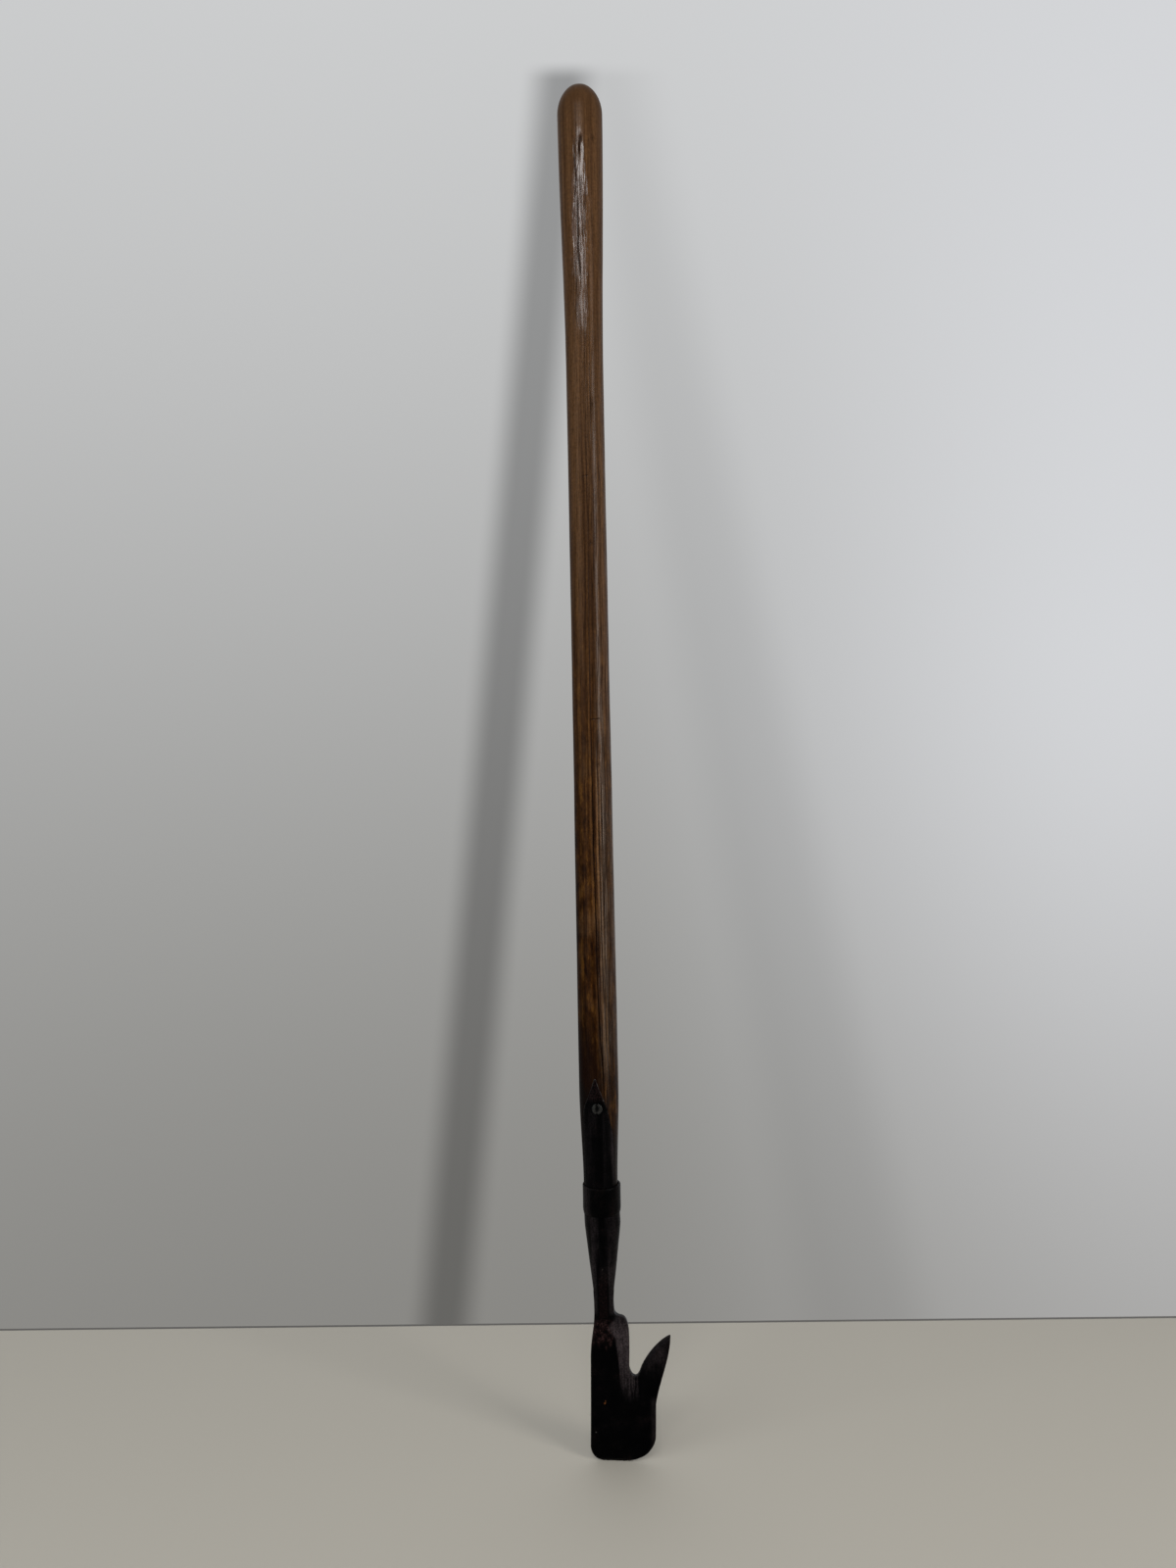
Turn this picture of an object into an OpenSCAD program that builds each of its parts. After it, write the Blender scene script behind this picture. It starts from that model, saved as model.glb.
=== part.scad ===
// Weeding spud with a thistle hook, standing upright on its cutting edge.
// Z runs up the middle of the shaft, X points to the hook, and the front looks along -Y.
// The origin is on the shaft's axis, level with the lowest point of the cutting edge.
// All sizes are in millimetres.

/* [Overall] */
// Length from the cutting edge to the top of the knob
overall_len = 1200; // [1000:10:1500]

/* [Shaft] */
// Largest diameter of the knob at the top
knob_d = 39.4; // [34:0.2:46]
// Height of the dome that closes the knob
dome_h = 26; // [12:1:34]
// Length over which the knob narrows to the waist
knob_taper = 226; // [120:2:300]
// Slimmest diameter of the shaft, at the waist
waist_d = 32.4; // [28:0.2:34]
// Diameter of the swell just above the langets
swell_d = 34.2; // [32:0.2:38]
// Diameter of the bare wood at the mouth of the socket
mouth_d = 29.6; // [27:0.2:32]

/* [Socket] */
// Height of the weld between socket and neck above the cutting edge
socket_z = 150; // [140:1:170]
// Length of the socket from that weld to its mouth
socket_len = 92; // [80:1:120]
// Outer diameter of the socket at the weld
socket_tip_d = 18.4; // [16:0.2:22]
// Outer diameter of the full round part under the collar
socket_full_d = 31.2; // [30:0.2:34]
// Height of that full round part below the collar
socket_full_h = 13; // [6:1:20]
// Wall of the socket and of its langets
socket_wall = 2.1; // [1.4:0.1:3]
// Solid iron between the weld and the bottom of the bore
bore_floor = 8; // [4:1:14]

/* [Langets] */
// Length of each langet above the mouth of the socket
langet_len = 95; // [70:1:130]
// Height of the langets' faces above the wood
langet_proud = 0.2; // [0:0.1:0.6]
// Width of the slot between the two langets, seen from the side
slit_w = 12; // [6:1:16]
// Depth of that slot below the mouth of the socket
slit_drop = 4; // [0:1:8]

/* [Collar] */
// Height of the collar
collar_h = 25; // [12:1:32]
// Thickness of the collar
collar_t = 1.55; // [1:0.05:3]

/* [Screws] */
// Diameter of the screw heads
screw_head_d = 9.3; // [7:0.1:11]
// Diameter of the screw shanks
screw_d = 4.8; // [3.5:0.1:5.5]
// Length of each screw over its head
screw_len = 20; // [16:1:24]
// Length of the threaded part of each screw
thread_len = 12; // [8:1:13]
// Distance of the front screw below the tip of its langet
screw_drop = 26; // [20:1:36]
// Distance between the heights of the front and the back screw
screw_step = 14; // [10:1:22]
// Width of the driver slots
driver_slot_w = 1.1; // [0.8:0.1:1.6]
// Distance from one thread crest to the next
thread_pitch = 1.9; // [1.4:0.1:2.6]

/* [Neck] */
// Width of the neck across its side flats where it is slimmest
neck_w = 16.8; // [12:0.2:20]
// Depth of the neck across its front and back flats where it is slimmest
neck_depth = 15; // [11:0.2:18]
// Distance across the neck's corner flats where it is slimmest
neck_corner_w = 16.2; // [12:0.2:20]
// Distance of the weld between neck and blade below the weld of the socket
neck_len = 18; // [10:1:30]

/* [Blade] */
// Distance of the blade's left edge from the shaft's axis
blade_left = 12.8; // [10:0.2:24]
// Distance of the blade's right edge from the shaft's axis
blade_right = 44; // [38:0.5:54]
// Radius of the left corner of the cutting edge
left_corner_r = 12; // [6:0.5:14]
// Height over which the cutting edge sweeps up into the right edge
right_sweep_h = 24; // [12:0.5:30]
// Length of that sweep along the cutting edge
right_sweep_len = 34; // [16:0.5:40]
// Distance of the shoulder's straight side from the shaft's axis
shoulder_x = 22; // [20:0.5:24]
// Thickness of the plate at the hook
plate_t = 5.6; // [4:0.1:8]
// Thickness of the plate above its cutting bevel
plate_low_t = 4.4; // [3:0.1:6]
// Height of the cutting bevel on the back face
back_bevel_h = 13; // [6:0.5:20]
// Height of the honed bevel on the front face
front_bevel_h = 3; // [1:0.5:8]
// Thickness left at the cutting edge
edge_t = 0.5; // [0.3:0.1:1]
// Height above the cutting edge where the thick spine runs out into the plate
spine_z = 44; // [30:1:60]
// Width of the chamfer along the left edge of the spine
left_chamfer = 2.2; // [0.5:0.1:4]

/* [Hook] */
// Distance of the hook's tip from the shaft's axis
hook_x = 58.2; // [56:0.2:70]
// Height of the hook's tip above the cutting edge
hook_z = 110.8; // [100:0.2:114]
// Height of the bottom of the notch above the cutting edge
notch_z = 75; // [66:0.5:80]
// Width of the notch at its round bottom
notch_w = 9.5; // [7:0.5:12]

/* [Fits] */
// Gap round the nose of the shaft in its socket
nose_gap = 0.15; // [0.05:0.05:0.4]
// Gap between the langets and their pockets in the wood
pocket_gap = 0.1; // [0.05:0.05:0.3]
// Gap between the collar and its seat on the socket
collar_gap = 0.03; // [0.01:0.01:0.1]
// Gap round the screws in their holes
screw_gap = 0.1; // [0.05:0.05:0.3]

/* [Hidden] */
$fn = 96;
wood = [0.36, 0.24, 0.15];
iron = [0.13, 0.12, 0.12];
iron_worn = [0.20, 0.19, 0.19];
// Steps of the curves, and a length that reaches past every face it cuts
curve_steps = 12;
taper_steps = 10;
past = 1;
// Heights above the cutting edge
neck_z = socket_z - neck_len;
mouth_z = socket_z + socket_len;
tip_z = mouth_z + langet_len;
swell_z = tip_z - 10;
dome_z = overall_len - dome_h;
knob_low_z = dome_z - knob_taper;
waist_z = swell_z + 0.7 * (knob_low_z - swell_z);
collar_z = mouth_z - collar_h;
nose_z = socket_z + bore_floor;
// Radii
mouth_r = mouth_d / 2;
seat_r = mouth_r + langet_proud;
full_r = max(socket_full_d / 2, seat_r);
nose_r = socket_tip_d / 2 - socket_wall;
reach = 2 * (knob_d + swell_d);
// Half width of a langet at the mouth of the socket, as a share of the seat's radius
langet_cover = 0.965;
// Half widths of the neck at its weld to the blade are larger by this much
neck_flare = 0.1;
// Screw proportions: a 90 degree head with a thin rim, and a thread on the lower part
head_r = screw_head_d / 2;
screw_r = screw_d / 2;
rim_h = 0.5;
thread_depth = 0.5;
point_h = screw_d * 0.8;
driver_slot_depth = 1.1;
head_sink = 0.4;
front_screw_z = tip_z - screw_drop;
back_screw_z = front_screw_z - screw_step;

// Share from 0 to 1 that leaves both ends level
function ease(t) = let (u = min(1, max(0, t))) u * u * (3 - 2 * u);
function mix(a, b, t) = a + (b - a) * t;
// Points along one cubic curve from a to d, steered by b and c
function curve(a, b, c, d) = [
    for (i = [0 : curve_steps])
        let (t = i / curve_steps, s = 1 - t)
        s * s * s * a + 3 * s * s * t * b + 3 * s * t * t * c + t * t * t * d
];
// Points along an arc round the centre c, from angle a0 to a1
function arc(c, r, a0, a1) = [
    for (i = [0 : curve_steps])
        let (a = mix(a0, a1, i / curve_steps))
        c + r * [cos(a), sin(a)]
];

// Radius of the bare wood at height z, between the mouth of the socket and the knob
function wood_r(z) =
    z < swell_z ? mix(mouth_r, swell_d / 2, ease((z - mouth_z) / (swell_z - mouth_z)))
    : z < knob_low_z ? mix(swell_d / 2, waist_d / 2, ease((z - swell_z) / (waist_z - swell_z)))
    : mix(waist_d / 2, knob_d / 2, ease((z - knob_low_z) / knob_taper));

// Inner radius of the socket's bore at height z
function bore_r(z) = mix(nose_r, seat_r - socket_wall, (z - nose_z) / (mouth_z - nose_z));

// Outer and inner radius of the langets at height z
function langet_out_r(z) = wood_r(z) + langet_proud;
function langet_in_r(z) = langet_out_r(z) - socket_wall;

// One side of a langet, seen from the front, as [half width, height] from the mouth up:
// upright at the mouth, nearly straight towards the pointed tip
langet_side = curve(
    [seat_r * langet_cover, mouth_z],
    [seat_r * langet_cover, tip_z - langet_len * 0.47],
    [seat_r * 0.87, tip_z - langet_len * 0.28],
    [0, tip_z]
);

// Evenly spaced heights from a to b
function heights(a, b, n) = [for (i = [0 : n]) mix(a, b, i / n)];

// An outline drawn as seen from the front, carried through the whole depth
module front_cut() {
    rotate([90, 0, 0])
        linear_extrude(height = reach, center = true)
            children();
}

// An outline drawn as seen from the side, carried through the whole width
module side_cut() {
    rotate([90, 0, 90])
        linear_extrude(height = reach, center = true)
            children();
}

// The turned shape of the whole shaft, nose, stem, knob and dome
module shaft_blank() {
    stem = [
        for (z = concat(
            heights(mouth_z, swell_z, taper_steps),
            heights(swell_z + socket_wall, knob_low_z, taper_steps),
            heights(knob_low_z + socket_wall, dome_z - past, taper_steps)
        )) [wood_r(z), z]
    ];
    dome = [
        for (i = [0 : curve_steps])
            let (a = 90 * i / curve_steps)
            [knob_d / 2 * cos(a), dome_z + dome_h * sin(a)]
    ];
    nose = [
        [0, nose_z + nose_gap],
        [bore_r(nose_z) - nose_gap, nose_z + nose_gap],
        [bore_r(mouth_z) - nose_gap, mouth_z]
    ];
    rotate_extrude()
        polygon(concat(nose, stem, dome));
}

// The pointed outline of both langets, seen from the front and larger by grow
module langet_arch(grow) {
    low_z = mouth_z - slit_drop - slit_w;
    right = [for (p = langet_side) [p[0] + grow, p[1]]];
    left = [for (i = [curve_steps : -1 : 0]) [-right[i][0], right[i][1]]];
    front_cut()
        polygon(concat(
            [[-seat_r - grow, low_z], [seat_r + grow, low_z]],
            right,
            [[0, tip_z + 2 * grow]],
            left
        ));
}

// The round bottomed slot that parts the langets at both sides, smaller by shrink
module side_slot(shrink) {
    r = slit_w / 2 - shrink;
    bottom = mouth_z - slit_drop + shrink;
    side_cut() {
        translate([0, bottom + r])
            circle(r);
        translate([-r, bottom + r])
            square([2 * r, langet_len + slit_drop + slit_w]);
    }
}

// The space that both langets take in the wood, larger by the pocket gap
module langet_pockets() {
    inner = [for (z = heights(mouth_z - past, tip_z + past, taper_steps)) [langet_in_r(z) - pocket_gap, z]];
    difference() {
        intersection() {
            rotate_extrude()
                polygon(concat(inner, [[reach / 2, tip_z + past], [reach / 2, mouth_z - past]]));
            langet_arch(pocket_gap);
        }
        side_slot(pocket_gap);
    }
}

// A slotted countersunk wood screw, point down, with its head's top at z = 0.
// grow makes it larger all round, for the hole that takes it.
module screw(grow = 0) {
    outline = [
        [0, grow > 0 ? langet_proud + socket_wall : 0],
        [head_r + grow, grow > 0 ? langet_proud + socket_wall : 0],
        [head_r + grow, -rim_h],
        [screw_r + grow, -rim_h - head_r + screw_r],
        [screw_r + grow, -screw_len + point_h],
        [0.6 + grow, -screw_len - grow],
        [0, -screw_len - grow]
    ];
    crests = floor((thread_len - point_h) / thread_pitch);
    difference() {
        rotate_extrude($fn = 48)
            polygon(outline);
        if (grow == 0) {
            translate([-screw_head_d, -driver_slot_w / 2, -driver_slot_depth])
                cube([2 * screw_head_d, driver_slot_w, driver_slot_depth + past]);
            // Grooves between the crests of the thread, drawn as rings
            for (i = [0 : crests - 1])
                translate([0, 0, -screw_len + point_h + (i + 0.5) * thread_pitch])
                    rotate_extrude($fn = 48)
                        polygon([
                            [screw_r - thread_depth, 0],
                            [screw_r + past, -thread_pitch / 2],
                            [screw_r + past, thread_pitch / 2]
                        ]);
        }
    }
}

// Places a screw along -Y or +Y so that its head sits flush in the langet at height z
module at_langet(z, back = false) {
    rotate([0, 0, back ? 180 : 0])
        translate([0, head_sink - langet_out_r(z), z])
            rotate([90, 0, 0])
                rotate([0, 0, back ? 70 : 86])
                    children();
}

module both_screw_holes() {
    at_langet(front_screw_z)
        screw(screw_gap);
    at_langet(back_screw_z, back = true)
        screw(screw_gap);
}

// One pair of parallel flats on the iron, turned by angle about the shaft's axis.
// sides lists [half width, height] from the bottom up.
module flat_pair(angle, sides) {
    rotate([0, 0, angle])
        front_cut()
            polygon(concat(
                sides,
                [for (i = [len(sides) - 1 : -1 : 0]) [-sides[i][0], sides[i][1]]]
            ));
}

// Half widths of one pair of flats, from the weld at the blade up to where they
// run out on the socket's cone, for a neck of half width slim
function flats(slim) = [
    [slim + neck_flare, neck_z],
    [slim, neck_z + neck_len * 0.4],
    [mix(slim, socket_tip_d / 2, 0.45), socket_z],
    [full_r + past / 2, socket_z + socket_len / 2],
    [reach, collar_z],
    [reach, tip_z + past]
];

// The eight flats that shape the neck and fade out on the socket's lower end
module eight_flats() {
    intersection() {
        flat_pair(0, flats(neck_w / 2));
        flat_pair(90, flats(neck_depth / 2));
        flat_pair(45, flats(neck_corner_w / 2));
        flat_pair(-45, flats(neck_corner_w / 2));
    }
}

module shaft() {
    color(wood)
        difference() {
            shaft_blank();
            langet_pockets();
            both_screw_holes();
        }
}

module socket() {
    cone = [
        [0, socket_z],
        [socket_tip_d / 2, socket_z],
        [full_r - 0.3, collar_z - socket_full_h],
        [full_r, collar_z - socket_full_h * 0.7],
        [full_r, collar_z],
        [seat_r, collar_z]
    ];
    outside = [for (z = heights(mouth_z, tip_z, taper_steps)) [langet_out_r(z), z]];
    inside = [for (z = heights(tip_z, mouth_z, taper_steps)) [langet_in_r(z), z]];
    color(iron)
        difference() {
            intersection() {
                rotate_extrude()
                    polygon(concat(cone, outside, inside, [[bore_r(nose_z), nose_z], [0, nose_z]]));
                union() {
                    langet_arch(0);
                    translate([0, 0, mouth_z - slit_drop - reach / 2])
                        cube([reach, reach, reach], center = true);
                }
                eight_flats();
            }
            side_slot(0);
            both_screw_holes();
        }
}

module collar() {
    inner_r = seat_r + collar_gap;
    outer_r = inner_r + collar_t;
    soft = 0.4;
    color(iron_worn)
        rotate_extrude()
            polygon([
                [inner_r, collar_z],
                [outer_r - soft, collar_z],
                [outer_r, collar_z + soft],
                [outer_r, mouth_z - soft],
                [outer_r - soft, mouth_z],
                [inner_r, mouth_z]
            ]);
}

module neck() {
    color(iron)
        intersection() {
            eight_flats();
            translate([-reach / 2, -reach / 2, neck_z])
                cube([reach, reach, neck_len]);
        }
}

// Outline of the plate and its hook, seen from the front, anticlockwise from the left corner
function blade_outline() =
    let (
        root = neck_w / 2 + neck_flare,
        notch_l = shoulder_x,
        notch_r = shoulder_x + notch_w,
        notch_rim = notch_z + 6,
        hip_z = 50
    )
    concat(
        arc([left_corner_r - blade_left, left_corner_r], left_corner_r, 180, 270),
        curve(
            [blade_right - right_sweep_len, 0], [blade_right - right_sweep_len * 0.53, 0.2],
            [blade_right, right_sweep_h * 0.25], [blade_right, right_sweep_h]
        ),
        curve(
            [blade_right + 0.6, hip_z], [blade_right + 3, hip_z + 18],
            [hook_x - 0.7, hook_z - 21], [hook_x, hook_z - 2]
        ),
        curve(
            [hook_x - 0.6, hook_z], [hook_x - 11, hook_z - 4.6],
            [notch_r + 3.5, notch_rim + 10], [notch_r, notch_rim]
        ),
        curve(
            [notch_r - 0.4, notch_rim - 1.4], [notch_r - 2.5, notch_z - 1.6],
            [notch_l + 2, notch_z - 2], [notch_l, notch_rim + 1]
        ),
        curve(
            [shoulder_x + 0.2, neck_z - 19], [shoulder_x + 0.6, neck_z - 3],
            [root + 5.5, neck_z - 4.5], [root, neck_z]
        ),
        curve(
            [-root, neck_z], [-root, neck_z - 20],
            [1.2 - blade_left, neck_z - 26], [1.2 - blade_left, neck_z - 48]
        )
    );

module blade() {
    root_t = neck_depth + 2 * neck_flare;
    // Side view of the plate: honed edge, cutting bevels and faces up to the neck
    plate_side = [
        [-edge_t / 2, 0],
        [-plate_low_t / 2, front_bevel_h],
        [-plate_t / 2, notch_z],
        [-plate_t / 2, neck_z],
        [plate_t / 2, neck_z],
        [plate_t / 2, notch_z],
        [plate_low_t / 2, back_bevel_h],
        [edge_t / 2, 0]
    ];
    // Side view of the spine: as deep as the neck above, as thin as the plate below
    spine_side = [
        [-plate_low_t / 2, spine_z],
        [-root_t / 2, neck_z],
        [root_t / 2, neck_z],
        [plate_low_t / 2, spine_z]
    ];
    // The front half of the spine's cross section: a chamfer on the left, the full depth
    // over the neck, and a long facet down to the plate at the notch
    section_front = [
        [-blade_left - past, left_chamfer + past - root_t / 2],
        [left_chamfer - blade_left, -root_t / 2],
        [neck_w * 0.2, -root_t / 2],
        [shoulder_x + past, -plate_t / 2]
    ];
    section = concat(section_front, [for (i = [3 : -1 : 0]) [section_front[i][0], -section_front[i][1]]]);
    // The neck's corner flats open out below the weld, and are gone one neck width down
    corner_sides = [
        [reach, 0],
        [reach, neck_z - neck_w],
        [neck_w, neck_z - neck_w * 0.8],
        [mix(neck_corner_w / 2, neck_w, 0.25), neck_z - neck_w * 0.3],
        [neck_corner_w / 2 + neck_flare, neck_z]
    ];
    color(iron)
        intersection() {
            front_cut()
                polygon(blade_outline());
            union() {
                side_cut()
                    polygon(plate_side);
                intersection() {
                    side_cut()
                        polygon(spine_side);
                    linear_extrude(height = neck_z)
                        polygon(section);
                    flat_pair(45, corner_sides);
                    flat_pair(-45, corner_sides);
                }
            }
        }
}

module front_screw() {
    color(iron_worn)
        at_langet(front_screw_z)
            screw();
}

module back_screw() {
    color(iron_worn)
        at_langet(back_screw_z, back = true)
            screw();
}

shaft();
socket();
collar();
neck();
blade();
front_screw();
back_screw();
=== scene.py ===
# %% [markdown]
# # A weeding spud: an ash pole with a forged head
#
# The tool is a walking-stick length of ash, thicker towards a rounded knob at the top, with
# a smith-made head at the foot. The head is a flat push blade with a hook on one side, a
# short eight-sided neck, and a socket whose two long pointed tongues, the langets, are let
# into the wood and screwed. A ring is shrunk over the mouth of the socket.
#
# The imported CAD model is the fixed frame. Every piece below is drawn where its CAD node
# stands, hides that node and rides on its body.

import bmesh
import bpy
import numpy as np
from mathutils import Matrix


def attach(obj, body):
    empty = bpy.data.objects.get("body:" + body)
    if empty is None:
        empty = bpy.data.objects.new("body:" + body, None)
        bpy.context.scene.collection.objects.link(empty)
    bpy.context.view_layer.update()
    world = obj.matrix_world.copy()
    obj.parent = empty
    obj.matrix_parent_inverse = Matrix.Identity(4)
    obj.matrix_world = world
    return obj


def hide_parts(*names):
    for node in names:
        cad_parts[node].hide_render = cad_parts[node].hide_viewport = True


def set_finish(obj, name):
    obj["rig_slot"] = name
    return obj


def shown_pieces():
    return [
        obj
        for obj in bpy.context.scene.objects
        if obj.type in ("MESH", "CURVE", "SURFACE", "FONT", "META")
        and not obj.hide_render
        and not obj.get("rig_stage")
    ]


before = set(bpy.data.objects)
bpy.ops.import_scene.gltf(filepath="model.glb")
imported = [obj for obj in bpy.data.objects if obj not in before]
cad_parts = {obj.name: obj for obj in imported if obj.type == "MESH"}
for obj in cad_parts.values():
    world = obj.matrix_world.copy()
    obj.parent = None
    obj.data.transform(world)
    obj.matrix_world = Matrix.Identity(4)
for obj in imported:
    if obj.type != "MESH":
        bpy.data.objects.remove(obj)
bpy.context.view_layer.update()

# %% [markdown]
# ## Camera
#
# The photograph was taken level, about a metre away at half the height of the tool and five
# degrees to its right. The tool leans a little to the left in the picture, so the camera is
# rolled by the same angle instead of leaning the tool.
#
# The photograph is 1200 pixels wide and 1600 high. Its focal length in pixels is the lens
# over the sensor, times the longer side. With it a pixel becomes a line of sight, which is
# how the edge of the floor and the shadow on the wall find their places.

# %% Place the camera
view_turn = np.radians(5.0)
view_distance = 1.0288
view_height = 0.5906
view_roll = np.radians(-1.13)
side_step = 0.0042
photo_wide, photo_high = 1200, 1600

right_hand = np.array([np.cos(view_turn), np.sin(view_turn), 0.0])
towards_camera = np.array([np.sin(view_turn), -np.cos(view_turn), 0.0])
camera_data = bpy.data.cameras.new("camera")
camera_data.lens = 27.045
camera_data.sensor_width = 36.0
camera = bpy.data.objects.new("camera", camera_data)
bpy.context.scene.collection.objects.link(camera)
eye = towards_camera * view_distance - right_hand * side_step + np.array([0, 0, view_height])
level = Matrix([right_hand.tolist(), [0, 0, 1], towards_camera.tolist()]).transposed()
camera_turn = level @ Matrix.Rotation(view_roll, 3, "Z")
camera.matrix_world = Matrix.Translation(eye.tolist()) @ camera_turn.to_4x4()
bpy.context.scene.camera = camera
bpy.context.scene.view_settings.view_transform = "Standard"
focal = camera_data.lens / camera_data.sensor_width * photo_high
print("camera at", np.round(eye, 3).tolist(), "with a focal length in pixels of", round(focal))


def sight_line(px, py):
    """Direction in which a pixel of the photograph looks: its steps across and up from the
    middle, each over the focal length, and 1 forwards, turned as the camera is."""
    steps = [(px - photo_wide / 2) / focal, (photo_high / 2 - py) / focal, -1]
    return np.array(camera_turn) @ steps


# %% [markdown]
# ## Light
#
# Two tall soft panels, one on each side of the camera, draw the two long bright lines that
# a round polished pole shows. They end above the floor, so that neither cuts through it. A
# third panel hangs above the camera. It lights the dome and the floor, and gives the worn
# patch under the knob its shine.

# %% Hang three soft lights
aim_height = 0.6


def soft_light(name, turn, distance, height, wide, tall, power, tint=(1, 1, 1)):
    """A rectangle of light at a turn from the front of the tool, facing its middle."""
    turn = np.radians(turn)
    lamp = bpy.data.lights.new(name, "AREA")
    lamp.shape = "RECTANGLE"
    lamp.size, lamp.size_y, lamp.energy, lamp.color = wide, tall, power, tint
    holder = bpy.data.objects.new(name, lamp)
    bpy.context.scene.collection.objects.link(holder)
    place = np.array([np.sin(turn) * distance, -np.cos(turn) * distance, height])
    back = place - np.array([0, 0, aim_height])
    back /= np.linalg.norm(back)
    across = np.cross([0, 0, 1], back)
    across /= np.linalg.norm(across)
    up = np.cross(back, across)
    turned = Matrix([across.tolist(), up.tolist(), back.tolist()]).transposed().to_4x4()
    holder.matrix_world = Matrix.Translation(place.tolist()) @ turned
    print(f"{name}: {power} W, {wide} by {tall} m, at {np.round(place, 2).tolist()}")


warm_white, cool_white = (1.0, 0.97, 0.94), (0.95, 0.98, 1.0)
soft_light("panel_right", 55, 1.9, 0.92, wide=0.55, tall=1.7, power=21, tint=warm_white)
soft_light("panel_left", -47, 2.0, 0.92, wide=1.3, tall=1.7, power=15.5, tint=cool_white)
soft_light("panel_above", -2, 2.0, 2.15, wide=1.1, tall=0.55, power=22)

# %% [markdown]
# ## Helpers for nodes
#
# The background and every finish are small networks of nodes. These helpers add a node and
# wire it in one line, so that a recipe reads like a list of sums. A socket is given either
# a plain value or the output of another node.

# %% Add and wire nodes
def add(tree, kind, into=None, **settings):
    """Adds a node. into gives each named socket a value or another node's output."""
    node = tree.nodes.new("ShaderNode" + kind)
    for key, value in settings.items():
        setattr(node, key, value)
    for key, value in (into or {}).items():
        if isinstance(value, bpy.types.NodeSocket):
            tree.links.new(value, node.inputs[key])
        else:
            node.inputs[key].default_value = value
    return node


def math_node(tree, operation, a, b=0.0, c=0.0, clamp=False):
    """One sum on numbers or outputs."""
    return add(tree, "Math", {0: a, 1: b, 2: c}, operation=operation, use_clamp=clamp).outputs[0]


def times(tree, a, b, clamp=False):
    """a times b, held between 0 and 1 where clamp is set."""
    return math_node(tree, "MULTIPLY", a, b, clamp=clamp)


def times_plus(tree, a, b, c, clamp=False):
    """a times b, plus c, held between 0 and 1 where clamp is set."""
    return math_node(tree, "MULTIPLY_ADD", a, b, c, clamp)


def larger(tree, a, b):
    """The larger of a and b."""
    return math_node(tree, "MAXIMUM", a, b)


def vector_math(tree, operation, a, b):
    """One sum on vectors: the outputs of its node."""
    return add(tree, "VectorMath", {0: a, 1: b}, operation=operation).outputs


def spread_out(tree, value, low, high, to_low=0.0, to_high=1.0):
    """Maps low..high to 0..1, or to the two values given, with eased ends."""
    into = {"Value": value, "From Min": low, "From Max": high, "To Min": to_low, "To Max": to_high}
    return add(tree, "MapRange", into, interpolation_type="SMOOTHSTEP").outputs["Result"]


def blend_colours(tree, share, a, b, blend="MIX"):
    """Colour a at share 0 and colour b at share 1."""
    node = add(tree, "Mix", {"Factor": share, "A": a, "B": b}, data_type="RGBA", blend_type=blend)
    return node.outputs["Result"]


# %% [markdown]
# ## Floor and background
#
# The floor is a pale sheet that ends a hand's breadth behind the tool, at the foot of a
# pale wall. The wall has no mesh: the world shows it to camera, mirror and transmission
# rays, in its pale colour with painted light that makes it lighter towards the top and the
# right.

# %% Start the world and colour the wall, with painted light
world = bpy.data.worlds.new("studio")
bpy.context.scene.world = world
world.use_nodes = True
sky = world.node_tree
sky.nodes.clear()
ray = add(sky, "TexCoord").outputs["Generated"]
ray_part = add(sky, "SeparateXYZ", {0: ray}).outputs


def towards(axis, low, high):
    """From 0 to 1 as one part of the ray's direction goes from low to high."""
    return spread_out(sky, ray_part[axis], low, high)


# Painted light: the wall is lighter towards the top and the right, where more light falls on it.
wall_left_low, wall_left_high = (0.235, 0.230, 0.215, 1), (0.68, 0.69, 0.70, 1)
wall_right_low, wall_right_high = (0.36, 0.355, 0.345, 1), (0.66, 0.67, 0.69, 1)
left_wall = blend_colours(sky, towards("Z", -0.58, 0.95), wall_left_low, wall_left_high)
right_wall = blend_colours(sky, towards("Z", -0.55, 0.12), wall_right_low, wall_right_high)
wall = blend_colours(sky, towards("X", -0.12, 0.36), left_wall, right_wall)

# %% [markdown]
# In the photograph the tool throws a soft shadow on the wall, beside it on the left, and a
# far fainter one on the right. No wall is there to catch them, so they are painted on the
# background. Each border of a shadow is a plane through the camera and two pixels of the
# photograph, and how far a ray points past that plane tells on which side of it the ray
# looks. The borders go round a shadow so that it always lies on their right hand: up its
# left side, to the right along its top and down its right side.

# %% Paint the tool's shadow on the wall
def right_of(line, soft):
    """1 on the right hand of one who goes from the first pixel to the second and 0 on the
    left, blended over soft pixels each way."""
    normal = np.cross(sight_line(*line[0]), sight_line(*line[1]))
    unit = (normal / np.linalg.norm(normal)).tolist()
    away = vector_math(sky, "DOT_PRODUCT", ray, unit)["Value"]
    return spread_out(sky, away, -soft / focal, soft / focal)


white = (1, 1, 1, 1)
shadow_top, top_soft = ((500, 72), (640, 72)), 8
near_left, near_right = ((444, 1200), (547, 100)), ((587, 200), (492, 1200))
faint_left, faint_right = ((740, 900), (625, 280)), ((700, 280), (840, 900))
shadows = [(near_left, near_right, 17, 0.47), (faint_left, faint_right, 30, 0.10)]
under_knob = right_of(shadow_top, top_soft)
for left_border, right_border, soft, depth in shadows:
    inside = times(sky, right_of(left_border, soft), right_of(right_border, soft))
    dim = (1 - depth, 1 - depth, 1 - depth, 1)
    shadow = blend_colours(sky, times(sky, inside, under_knob), white, dim)
    wall = blend_colours(sky, 1.0, wall, shadow, "MULTIPLY")

# %% [markdown]
# Light Path tells what kind of ray asks. A camera ray gets the wall. So does a mirror ray,
# unless it goes back past the camera, where it sees a darker room. Any other ray gets an
# even light, weak in front of the tool and stronger behind it, as from a pale wall close
# by.

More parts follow.
